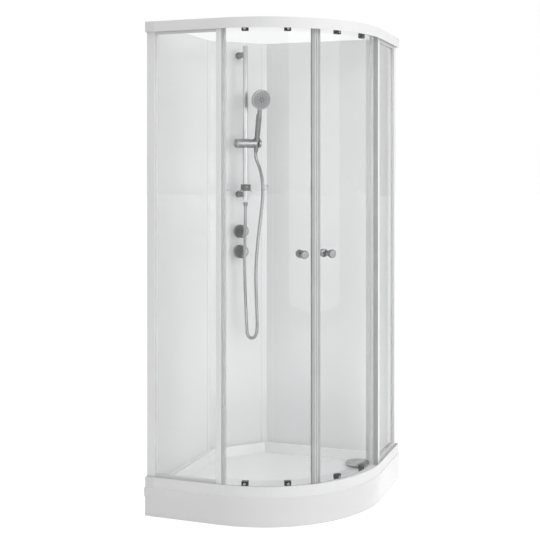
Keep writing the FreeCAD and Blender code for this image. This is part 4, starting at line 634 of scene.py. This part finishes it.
def hose_line():
    """The hose's centre line, from a NURBS spline with the route's points."""
    points = [panel_point(x / 1000, y / 1000, z / 1000) for x, y, z in HOSE_ROUTE]
    points += [handset_matrix() @ Vector((0, 0, along)) for along in (BEFORE_NUT, NUT_END)]
    curve = bpy.data.curves.new("hose_route", "CURVE")
    curve.dimensions = "3D"
    spline = curve.splines.new("NURBS")
    spline.points.add(len(points) - 1)
    for item, point in zip(spline.points, points):
        item.co = (*point, 1)
    spline.order_u = 3
    spline.use_endpoint_u = True
    spline.resolution_u = 12
    mesh = finished_mesh(add_object("hose_route", curve))
    line = [vertex.co.copy() for vertex in mesh.vertices]
    bpy.data.meshes.remove(mesh)
    return line


def tube(line, radius, across_line, laps, sides=20):
    """A tube round a line. Returns its mesh, its last frame and the spiral's laps so far."""
    made = bmesh.new()
    uv = made.loops.layers.uv.new("UVMap")
    rings, along = [], []
    for index, point in enumerate(line):
        before = line[max(index - 1, 0)]
        after = line[min(index + 1, len(line) - 1)]
        forward = (after - before).normalized()
        across_line = (across_line - forward * across_line.dot(forward)).normalized()
        side = forward.cross(across_line)
        rings.append([made.verts.new(point + radius * (across_line * x + side * y))
                      for x, y in circle(sides)])
        if index:
            laps += (point - line[index - 1]).length
        along.append(laps)
    for index in range(len(rings) - 1):
        for step in range(sides):
            after = (step + 1) % sides
            face = made.faces.new((rings[index][step], rings[index][after],
                                   rings[index + 1][after], rings[index + 1][step]))
            corners = ((along[index], step), (along[index], step + 1),
                       (along[index + 1], step + 1), (along[index + 1], step))
            for loop, (length, turn) in zip(face.loops, corners):
                loop[uv].uv = (length * HOSE_TURNS, turn / sides)
    made.faces.new(rings[0][::-1])
    made.faces.new(rings[-1])
    return as_mesh(made, "hose", outward=False), across_line, laps


def line_length(line):
    return sum((b - a).length for a, b in zip(line, line[1:]))


def split_line(line, lengths):
    """Cuts a line where its lowest point is and at the given lengths from its end."""
    total = line_length(line)
    cuts = [0, min(range(len(line)), key=lambda index: line[index].z)]
    for length in lengths:
        run = 0.0
        for index in range(len(line) - 1):
            run += (line[index + 1] - line[index]).length
            if run > total - length:
                cuts.append(index)
                break
    cuts.append(len(line) - 1)
    return [line[a:b + 1] for a, b in zip(cuts, cuts[1:])]


def make_hose():
    """Four parts of one hose, in place of the imported one: the first rides on the cabin, and the
    others, up to the handset, ride on no body.
    """
    across_line, laps = Vector((1, 0, 0)), 0.0
    for (name, span), line in zip(HOSE_PARTS, split_line(hose_line(), HOSE_CUTS)):
        mesh, across_line, laps = tube(line, HOSE_RADIUS, across_line, laps)
        item = piece(name, mesh, "hose_sheath", "cabin" if span is None else None)
        if span:
            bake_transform(item)
        if span is None:
            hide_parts("shower_hose")


make_hose()


# ---- ribs and screws

def ridge(width, depth, length, flare=0.0):
    """A rounded rib along Z that stands out along X, its ends sloped, its foot slightly sunk."""
    rings = []
    for share, rise in ((0.0, 0.25), (0.06, 1.0), (0.94, 1.0), (1.0, 0.25)):
        ring = [Vector((flare * share - depth * 0.4, side * width / 2, length * share))
                for side in (-1, 1)]
        for step in range(5):
            turn = math.pi * (0.5 - step / 4)
            ring.append(Vector((flare * share + depth * rise * math.cos(turn),
                                width / 2 * math.sin(turn), length * share)))
        rings.append(ring)
    return skinned(rings)


def hexagon(angle):
    return 1 / math.cos((angle + math.pi / 6) % (math.pi / 3) - math.pi / 6)


def cross(angle):
    """The outline of a cross recess, by its reach at each angle."""
    level, rise = abs(math.cos(angle)) + 1e-6, abs(math.sin(angle)) + 1e-6
    return max(min(1 / level, 0.35 / rise), min(1 / rise, 0.35 / level))


def screw_head(radius, height, recess, share, steps=32):
    """A low domed head with a recess, standing on Z = 0."""
    def ring(size, level, outline=None):
        points = []
        for step in range(steps):
            angle = 2 * math.pi * step / steps
            reach = size * (outline(angle) if outline else 1)
            points.append(Vector((reach * math.cos(angle), reach * math.sin(angle), level)))
        return points
    return skinned([
        ring(radius, -height * 0.2), ring(radius, height * 0.45), ring(radius * 0.9, height * 0.8),
        ring(radius * 0.72, height), ring(radius * share, height, recess),
        ring(radius * share * 0.92, height * 0.25, recess)])


# ---- repeats, with Geometry Nodes

def repeat_tree(name, inputs):
    geometry = ("Geometry", "Geometry")
    tree, given, out = new_tree(name, "GeometryNodeTree", [geometry] + inputs, [geometry])
    tree.is_modifier = True
    return tree, given, out


def finish_tree(tree, given, out, instances):
    real = node(tree, "GeometryNodeRealizeInstances", {"Geometry": instances})
    dressed = node(tree, "GeometryNodeSetMaterial", {
        "Geometry": real.outputs[0], "Material": given["Finish"]})
    tree.links.new(dressed.outputs[0], out["Geometry"])
    return tree


def ring_of_parts():
    """Copies of the part round Z over an arc, each a step higher than the one before."""
    tree, given, out = repeat_tree("Ring of parts", [
        ("Count", "Int", 12), ("Radius", "Float", 0.01), ("First angle", "Float", 0.0),
        ("Arc", "Float", 2 * math.pi), ("Rise", "Float", 0.0), ("Finish", "Material")])
    index = node(tree, "GeometryNodeInputIndex").outputs[0]
    share = maths(tree, "DIVIDE", index, given["Count"])
    angle = maths(tree, "ADD", maths(tree, "MULTIPLY", share, given["Arc"]), given["First angle"])
    place = node(tree, "ShaderNodeCombineXYZ", {
        "X": maths(tree, "MULTIPLY", maths(tree, "COSINE", angle), given["Radius"]),
        "Y": maths(tree, "MULTIPLY", maths(tree, "SINE", angle), given["Radius"]),
        "Z": maths(tree, "MULTIPLY", index, given["Rise"])}).outputs[0]
    turn = node(tree, "ShaderNodeCombineXYZ", {"Z": angle}).outputs[0]
    places = node(tree, "GeometryNodePoints", {"Count": given["Count"], "Position": place})
    copies = node(tree, "GeometryNodeInstanceOnPoints", {
        "Points": places.outputs[0], "Instance": given["Geometry"],
        "Rotation": node(tree, "FunctionNodeEulerToRotation", {"Euler": turn}).outputs[0]})
    return finish_tree(tree, given, out, copies.outputs[0])


def parts_on_places():
    """The part on every point, its Z along the point's own direction, turned at random."""
    tree, given, out = repeat_tree("Parts on places", [
        ("Part", "Object"), ("Seed", "Int", 7), ("Finish", "Material")])
    toward = node(tree, "GeometryNodeInputNamedAttribute", {"Name": "toward"},
                  data_type="FLOAT_VECTOR").outputs[0]
    aim = node(tree, "FunctionNodeAlignRotationToVector", {"Vector": toward}, axis="Z").outputs[0]
    chance = node(tree, "FunctionNodeRandomValue", {"Seed": given["Seed"]}, data_type="FLOAT")
    spin = maths(tree, "MULTIPLY", chance.outputs[1], 2 * math.pi)
    spun = node(tree, "FunctionNodeRotateRotation", {
        "Rotation": aim, "Rotate By": node(tree, "FunctionNodeEulerToRotation", {
            "Euler": node(tree, "ShaderNodeCombineXYZ", {"Z": spin}).outputs[0]}).outputs[0]},
        rotation_space="LOCAL")
    part = node(tree, "GeometryNodeObjectInfo", {"Object": given["Part"]})
    copies = node(tree, "GeometryNodeInstanceOnPoints", {
        "Points": given["Geometry"], "Instance": part.outputs["Geometry"],
        "Rotation": spun.outputs[0]})
    return finish_tree(tree, given, out, copies.outputs[0])


RING, PLACES = ring_of_parts(), parts_on_places()


def grown(tree, mesh, values, finish):
    """Runs a repeat on a mesh and returns the result as a plain mesh."""
    holder = add_object("grown", mesh)
    change = holder.modifiers.new("repeat", "NODES")
    change.node_group = tree
    keys = {item.name: item.identifier for item in tree.interface.items_tree
            if item.in_out == "INPUT"}
    for label, value in dict(values, Finish=M[finish]).items():
        change[keys[label]] = value
    return finished_mesh(holder)


def ring(mesh, finish, count, radius, first=0.0, arc=2 * math.pi, rise=0.0):
    return grown(RING, mesh, {"Count": count, "Radius": radius, "First angle": first,
                              "Arc": arc, "Rise": rise}, finish)


def on_places(mesh, finish, places):
    """A part at each (point, direction)."""
    part = add_object("part", mesh)
    cloud = bpy.data.meshes.new("places")
    cloud.from_pydata([point for point, _ in places], [], [])
    toward = cloud.attributes.new("toward", "FLOAT_VECTOR", "POINT")
    for item, (_, direction) in zip(toward.data, places):
        item.vector = direction
    result = grown(PLACES, cloud, {"Part": part}, finish)
    bpy.data.objects.remove(part)
    return result


# ---- handset, hose nuts and slider

# Profiles run (radius, height) from bottom to top.
NOZZLE = [(0, -0.0003), (0.0028, -0.0003), (0.0027, 0.0006), (0.0022, 0.0014),
          (0.0008, 0.0014), (0.0007, 0.0005), (0, 0.0005)]
NOZZLE_ROWS = ((0.0373, 24), (0.0304, 20), (0.0240, 16), (0.0160, 8), (0.0113, 8), (0.0072, 8))
NOZZLE_TWIST = 0.1              # radians that a row is turned, for each metre of its radius
HEAD_RIM = [(0.0441, -0.0026), (0.0484, -0.0026), (0.0484, -0.0022), (0.0478, -0.0021),
            (0.0446, -0.0021), (0.0441, -0.0022)]
SLIDER_CAP = [(0, 0), (0.0150, 0), (0.0150, 0.0004), (0.0138, 0.0008), (0, 0.0012)]
PLUG_SIZE = (0.0116, 0.0056, 0.0036)    # half width, half depth and corner radius
PLUG_LEVELS = ((0.0, -0.0005), (0.0, 0.0010), (0.0006, 0.0017), (0.0016, 0.0020))


def make_handset_details():
    handset = handset_matrix()
    spray = handset @ moved(0, -HEAD_FACE, HEAD_HEIGHT) @ turned("X", 90)
    nozzle = revolved(NOZZLE, steps=10)
    nozzles = [(ring(nozzle, "soft_nozzles", count, radius, NOZZLE_TWIST * radius), spray)
               for radius, count in NOZZLE_ROWS]
    piece("spray_nozzles", joined(nozzles), "soft_nozzles", "spray")
    rims = [(bead_ring(0.0417, 0.0006), spray), (bead_ring(0.0190, 0.0005, steps=36), spray)]
    piece("spray_rings", joined(rims), "chrome_painted_dark_reflection", "spray")
    rim = revolved(HEAD_RIM, spray, 64, closed=True)
    piece("head_rim", rim, "satin_chrome", "handset")
    grip = ring(ridge(0.0019, 0.0006, 0.098, flare=0.00105), "polished_chrome", 22, 0.01235)
    piece("handle_ribs", grip, "polished_chrome", "handset",
          handset @ moved(0, 0, 0.036))
    piece("handle_collar_band", bead_ring(0.0142, 0.0009, 1.4), "polished_chrome", "handset",
          handset @ moved(0, 0, 0.0245))


def make_nut_knurls():
    rib = ridge(0.0022, 0.0006, 0.0066)
    for name, body, radius, place in (
            ("upper", "handset", 0.0104, handset_matrix() @ moved(0, 0, -0.0299)),
            ("lower", "cabin", 0.0109, moved(*panel_point(0, -RISER_DISTANCE, 1.3107)))):
        knurl = ring(rib, "polished_chrome", 18, radius)
        piece(name + "_nut_knurl", knurl, "polished_chrome", body, place)


def make_slider_details():
    knob = on_panel(-0.038, -SLIDER_DISTANCE, SLIDER_HEIGHT) @ turned("Y", -90)
    ribs = ring(ridge(0.0026, 0.0007, 0.0132), "chromed_plastic", 30, 0.0214)
    piece("slider_knob_ribs", ribs, "chromed_plastic", "slider_lock",
          knob @ moved(0, 0, 0.0008))
    cap = revolved(SLIDER_CAP, knob @ moved(0, 0, 0.019))
    piece("slider_knob_cap", cap, "satin_chrome", "slider_lock")


def rounded_outline(half_x, half_y, radius, level, steps=5):
    points = []
    for corner, (sx, sy) in enumerate(((1, 1), (-1, 1), (-1, -1), (1, -1))):
        for step in range(steps):
            turn = math.radians(90 * corner + 90 * step / (steps - 1))
            points.append(Vector((sx * (half_x - radius) + radius * math.cos(turn),
                                  sy * (half_y - radius) + radius * math.sin(turn), level)))
    return points


def make_riser_end():
    """The plug that closes the riser's upper end."""
    plug = skinned([rounded_outline(*(size - inset for size in PLUG_SIZE), level)
                    for inset, level in PLUG_LEVELS])
    piece("riser_end_plug", plug, "grey_moulding", "cabin",
          on_panel(0, -RISER_DISTANCE, RISER_TOP))


# ---- mixer and door knobs

MIXER_CONTROLS = (("temperature", "temperature_control", TEMPERATURE_HEIGHT),
                  ("flow", "flow_control", FLOW_HEIGHT))
MIXER_FRONT = -0.0543           # front of the mixer knobs, off the corner panel
MIXER_RIM = [(0, -0.0002), (0.0262, -0.0002), (0.0262, 0.0005), (0.0253, 0.0009)]
DOME_RADIUS = 0.0245            # plan radius of the dome on a mixer knob's front
DOME_FOOT = 0.0011
DOME_SLOPE = math.radians(24)   # at its edge
DOME_STEPS = 9
POINTER_REACH = 0.0196          # from a mixer knob's axis to its pointer's upper end
KNOB_FACE = [(0, -0.0002), (0.0148, -0.0002), (0.0148, 0.0004), (0.0138, 0.0008),
             (0.0095, 0.0009), (0.0090, 0.0006), (0, 0.0008)]
OUTER_KNOB, INNER_KNOB = 0.5351, 0.4600     # the knobs' fronts, from the corner's centre


def dome_profile():
    """A mixer knob's front: a flat rim round a part of a sphere."""
    bend = DOME_RADIUS / math.sin(DOME_SLOPE)
    profile = list(MIXER_RIM)
    for step in range(DOME_STEPS, -1, -1):
        slope = DOME_SLOPE * step / DOME_STEPS
        profile.append((bend * math.sin(slope),
                        DOME_FOOT + bend * (math.cos(slope) - math.cos(DOME_SLOPE))))
    return profile


def make_mixer_details():
    for name, body, height in MIXER_CONTROLS:
        front = facing_cabin(0, MIXER_FRONT, height)
        disc = revolved(dome_profile(), front, 64)
        piece(name + "_knob_front", disc, "domed_chrome", body)
        pointer = front @ moved(0, POINTER_REACH, 0.0029) @ turned("X", -109) @ turned("Z", 90)
        piece(name + "_pointer", ridge(0.0022, 0.0009, 0.0062), "dark_bracket", body,
              pointer)
        grip = ring(ridge(0.0034, 0.0008, 0.036), "chrome_painted_dark_reflection", 26, 0.0309,
                    math.radians(110), math.radians(332))
        piece(name + "_knob_grip", grip, "chrome_painted_dark_reflection", body,
              front @ moved(0, 0, -0.0412))


def make_knob_details():
    face = revolved(KNOB_FACE)
    rims = ring(bead_ring(0.0173, 0.0006), "polished_chrome", 2, 0.0, rise=0.0042)
    down = moved(0, 0, -0.0082)
    for side in SIDES:
        ends = (door_frame(side, OUTER_KNOB, DOOR_KNOB_ANGLE, DOOR_KNOB_HEIGHT),
                door_frame(side, INNER_KNOB, DOOR_KNOB_ANGLE, DOOR_KNOB_HEIGHT, inward=True))
        piece(side + "_knob_faces", joined([(face, end) for end in ends]), "satin_chrome",
              side + "_door")
        piece(side + "_knob_rims", joined([(rims, end @ down) for end in ends]),
              "polished_chrome", side + "_door")


# ---- doors

BOLT_ANGLES = (14, 35)
BOLT_HEIGHTS = (0.164, 2.064)
BOLT_FACE = 0.50195             # the glass's outer face, from the corner's centre
STRIP_FACE = (0.5058, 0.5064)   # foot and top of what the magnet strips carry
STRIP_ENDS = (0.158, 2.070)
LIP_ANGLES = (0.14, 0.62)       # from the diagonal, where the strips meet
STRIP_RIBS = (1.0, 1.45, 1.9)
RIB_ANGLE = 0.10


def make_bolt_heads():
    head = screw_head(0.0056, 0.0011, hexagon, 0.46)
    for side in SIDES:
        frames = [door_frame(side, BOLT_FACE, angle, height)
                  for angle in BOLT_ANGLES for height in BOLT_HEIGHTS]
        places = [(place.translation, place.to_3x3() @ Vector((0, 0, 1))) for place in frames]
        piece(side + "_bolt_heads", on_places(head, "chrome_painted_bright_reflection", places),
              "chrome_painted_bright_reflection", side + "_door")


def door_band(side, start, end, steps=3):
    """A thin strip along a door's magnet strip, between two angles from the diagonal."""
    inner, outer = STRIP_FACE
    low, high = STRIP_ENDS
    slope = (outer - inner) * 0.5

    def outline(level, inset):
        return [door_point(LEFT, radius, start + (end - start) * step / steps, level)
                for radius, order in ((inner, range(steps + 1)),
                                      (outer - inset, range(steps, -1, -1)))
                for step in order]
    mesh = skinned([outline(low, slope), outline(low + 0.001, 0), outline(high - 0.001, 0),
                    outline(high, slope)])
    if side == RIGHT:
        for vertex in mesh.vertices:
            vertex.co = across(vertex.co)
        mesh.flip_normals()
    return mesh


def make_strip_details():
    """The soft lip and the ribs of the magnet strips, which meet between the doors."""
    for side in SIDES:
        piece(side + "_strip_lip", door_band(side, *LIP_ANGLES), "clear_rubber",
              side + "_door")
        ribs = [(door_band(side, angle, angle + RIB_ANGLE, 1), Matrix()) for angle in STRIP_RIBS]
        piece(side + "_strip_ribs", joined(ribs), "satin_strip", side + "_door")


# ---- cabin

JAMB_FACE = -0.102
JAMB_STRIP = (-0.4325, -0.4115)     # its outer and inner edge
JAMB_LEVELS = ((0.1525, 0.2), (0.1535, 1), (2.0745, 1), (2.0755, 0.2))  # height, rise of ribs
JAMB_STEPS = 12
POST_SCREWS = ([(-0.444, -0.413, height) for height in (0.260, 0.830, 1.400, 1.970)]
               + [(-0.447, -0.4255, height) for height in (0.144, 2.084)])
PANEL_END = 0.4035              # where the sealant bead ends, by the posts
# The bead's section: into the cabin and up, from the foot of the wall panels.
SEALANT = [(-0.0010, -0.0006), (0.0064, -0.0006), (0.0050, 0.0010), (0.0036, 0.0024),
           (0.0026, 0.0044), (-0.0010, 0.0066)]
COVER_RINGS = ((0.0500, 0.0010, 64), (0.0300, 0.0008, 48))      # radius, thickness, steps
FEET = [(-0.37, -0.19), (0.19, 0.37), (-0.20, -0.37), (0.37, 0.20), (0.30, -0.19), (0.19, -0.30),
        (-0.37, 0.20), (-0.20, 0.37)]
THREAD_PITCH = 0.0018
MIXER_SCREW_HEIGHTS = (1.055, 1.125, 1.195)


def make_jamb_strips():
    """Grey ribbed strips over the ends of the jambs, along the door opening, which make these ends
    dark.
    """
    near, far = JAMB_STRIP

    def outline(level, inset):
        points = [Vector((JAMB_FACE - 0.0002, y, level)) for y in JAMB_STRIP]
        for step in range(JAMB_STEPS + 1):
            rise = (0.0004 if step % 3 else 0.0001) * inset
            points.append(Vector((JAMB_FACE + rise + 0.0001,
                                  far + (near - far) * step / JAMB_STEPS, level)))
        return points
    strip = skinned([outline(level, inset) for level, inset in JAMB_LEVELS])
    turned_over = Matrix(((0, -1, 0, 0), (-1, 0, 0, 0), (0, 0, 1, 0), (0, 0, 0, 1)))
    piece("jamb_strips", joined([(strip, Matrix()), (strip, turned_over)]), "satin_strip",
          "cabin")


def make_post_screws():
    """Cross-head screws on the outer sides of the wall posts and of the rails' end caps."""
    places = []
    for spot in map(Vector, POST_SCREWS):
        places += [(spot, Vector((-1, 0, 0))), (across(spot), Vector((0, 1, 0)))]
    screws = on_places(screw_head(0.0042, 0.0016, cross, 0.55), "polished_chrome", places)
    piece("post_screws", screws, "polished_chrome", "cabin")


def make_sealant():
    """The bead between the wall panels and the tray's ledge."""
    turn_in = PANEL_OFFSET * math.sqrt(2) - WALL_FACE
    path = [(-WALL_FACE, -PANEL_END), (-WALL_FACE, turn_in), (-turn_in, WALL_FACE),
            (PANEL_END, WALL_FACE)]
    inward = [Vector((1, 0)), Vector((1, -1)).normalized(), Vector((0, -1))]
    rings = []
    for index, (x, y) in enumerate(path):
        before, after = inward[max(index - 1, 0)], inward[min(index, 2)]
        middle = (before + after).normalized()
        middle /= middle.dot(before)
        rings.append([Vector((x + middle.x * reach, y + middle.y * reach, LEDGE + up))
                      for reach, up in SEALANT])
    piece("tray_sealant", skinned(rings), "sealant", "cabin")


def make_waste_details():
    rings = [(bead_ring(radius, thickness, 0.6, steps), moved(*DRAIN, COVER_TOP))
             for radius, thickness, steps in COVER_RINGS]
    piece("waste_cover_rings", joined(rings), "polished_chrome", "waste_plug")
    ribs = ring(ridge(0.0060, 0.0020, 0.0120), "black_moulding", 12, 0.0299)
    piece("outlet_nut_ribs", ribs, "black_moulding", "cabin",
          moved(DRAIN[0], DRAIN[1] + 0.0535, 0.033) @ turned("X", -90))


def make_threads():
    """Threads of the levelling feet and of the mixer's inlet tails."""
    thread = ring(bead_ring(0.0060, 0.0006, 0.9, 24, 6), "zinc_steel", 13, 0.0,
                  rise=THREAD_PITCH)
    feet = [(thread, moved(x, y, 0.0100)) for x, y in FEET]
    piece("feet_threads", joined(feet), "zinc_steel", "cabin")
    tail = ring(bead_ring(0.0104, 0.0006, 0.9, 32, 6), "cast_brass", 12, 0.0,
                rise=THREAD_PITCH)
    tails = [(tail, moved(*panel_point(side * 0.075, 0.030, 1.0668))) for side in (-1, 1)]
    piece("inlet_threads", joined(tails), "cast_brass", "cabin")


def make_single_screws():
    """Cover screws on the back of the mixer body, and the screw of the dish's clamp."""
    away = Vector((-1, 1, 0)).normalized()
    places = [(panel_point(side * 0.019, 0.056, height), away)
              for side in (-1, 1) for height in MIXER_SCREW_HEIGHTS]
    screws = on_places(screw_head(0.0040, 0.0020, hexagon, 0.5), "zinc_steel", places)
    piece("mixer_screws", screws, "zinc_steel", "cabin")
    piece("clamp_screw", screw_head(0.0048, 0.0014, hexagon, 0.46), "polished_chrome", "dish",
          facing_cabin(0, -0.106, 1.391))


for make in (make_handset_details, make_nut_knurls, make_slider_details, make_riser_end,
             make_mixer_details, make_knob_details, make_bolt_heads, make_strip_details,
             make_jamb_strips, make_post_screws, make_sealant, make_waste_details,
             make_threads, make_single_screws):
    make()


# ---- stage, light and camera

WORLD_LIGHT = 0.48              # what the white world gives as a light
FLOOR_GLOW = 0.68               # what lifts the lit floor to white
FLOOR_REACH = 60
LAMPS = (                       # name, place, aim, size, power
    ("key_right", (4.9, -1.5, 2.3), (0, 0, 1.2), (6.0, 4.4), 137),
    ("fill_front", (-1.2, -4.8, 2.6), (0, 0, 1.3), (3.0, 3.0), 12),
    ("top", (0.2, -0.2, 4.6), (0, 0, 0), (2.4, 2.4), 50),
)
# The camera, fitted to the photograph: its lens in pixels of a picture of 540 by 540.
FOCAL_PX = 1024.65
FRAME_PX = 540
HORIZON_PX = 173.2
CENTRE_PX = 278.71
SENSOR = 36                     # millimetres
CAMERA_PLACE = (1.5606, -4.3607, 1.4592)
CAMERA_TURN = 0.34414           # radians round Z


def shows_background(tree):
    """1 where the camera, metal or glass sees the studio itself, 0 where it only lights."""
    path = node(tree, "ShaderNodeLightPath").outputs
    mirrored = maths(tree, "MAXIMUM", path["Is Glossy Ray"], path["Is Transmission Ray"])
    return maths(tree, "MAXIMUM", path["Is Camera Ray"], mirrored)


def material_floor():
    """A pale floor that reads white where it is lit and keeps the object's soft shadow."""
    finish = Finish("Studio floor", Roughness=0.7)
    finish.shader.inputs["Base Color"].default_value = (0.85, 0.85, 0.85, 1)
    seen = maths(finish.tree, "MULTIPLY", shows_background(finish.tree), FLOOR_GLOW)
    glow = node(finish.tree, "ShaderNodeEmission", {"Color": (1, 1, 1, 1), "Strength": seen})
    lit = node(finish.tree, "ShaderNodeAddShader", {
        0: finish.shader.outputs[0], 1: glow.outputs[0]})
    finish.tree.links.new(lit.outputs[0], finish.output.inputs["Surface"])
    return finish.material


def make_stage():
    mesh = bpy.data.meshes.new("floor")
    mesh.from_pydata([(x * FLOOR_REACH, y * FLOOR_REACH, 0)
                      for x, y in ((-1, -1), (1, -1), (1, 1), (-1, 1))], [], [(0, 1, 2, 3)])
    mesh.materials.append(material_floor())
    add_object("floor", mesh)


def make_world():
    """White to the camera and in glass, softer as a light."""
    world = bpy.data.worlds.new("Studio")
    world.use_nodes = True
    bpy.context.scene.world = world
    tree = world.node_tree
    strength = mapped(tree, shows_background(tree), start=WORLD_LIGHT)
    background = tree.nodes["Background"]
    background.inputs["Color"].default_value = (1, 1, 1, 1)
    tree.links.new(strength, background.inputs["Strength"])


def make_lights():
    for name, place, aim, size, power in LAMPS:
        light = bpy.data.lights.new(name, "AREA")
        light.shape = "RECTANGLE"
        light.size, light.size_y = size
        light.energy = power
        lamp = add_object(name, light)
        lamp.location = place
        lamp.visible_glossy = False
        lamp.rotation_euler = (Vector(aim) - Vector(place)).to_track_quat("-Z", "Y").to_euler()


def make_camera():
    data = bpy.data.cameras.new("camera")
    data.sensor_width = SENSOR
    data.lens = SENSOR * FOCAL_PX / FRAME_PX
    data.shift_x = (FRAME_PX / 2 - CENTRE_PX) / FRAME_PX
    data.shift_y = (HORIZON_PX - FRAME_PX / 2) / FRAME_PX
    camera = add_object("camera", data)
    camera.location = CAMERA_PLACE
    camera.rotation_euler = (math.radians(90), 0, CAMERA_TURN)
    bpy.context.scene.camera = camera


make_stage()
make_world()
make_lights()
make_camera()
bpy.context.scene.view_settings.view_transform = "Standard"
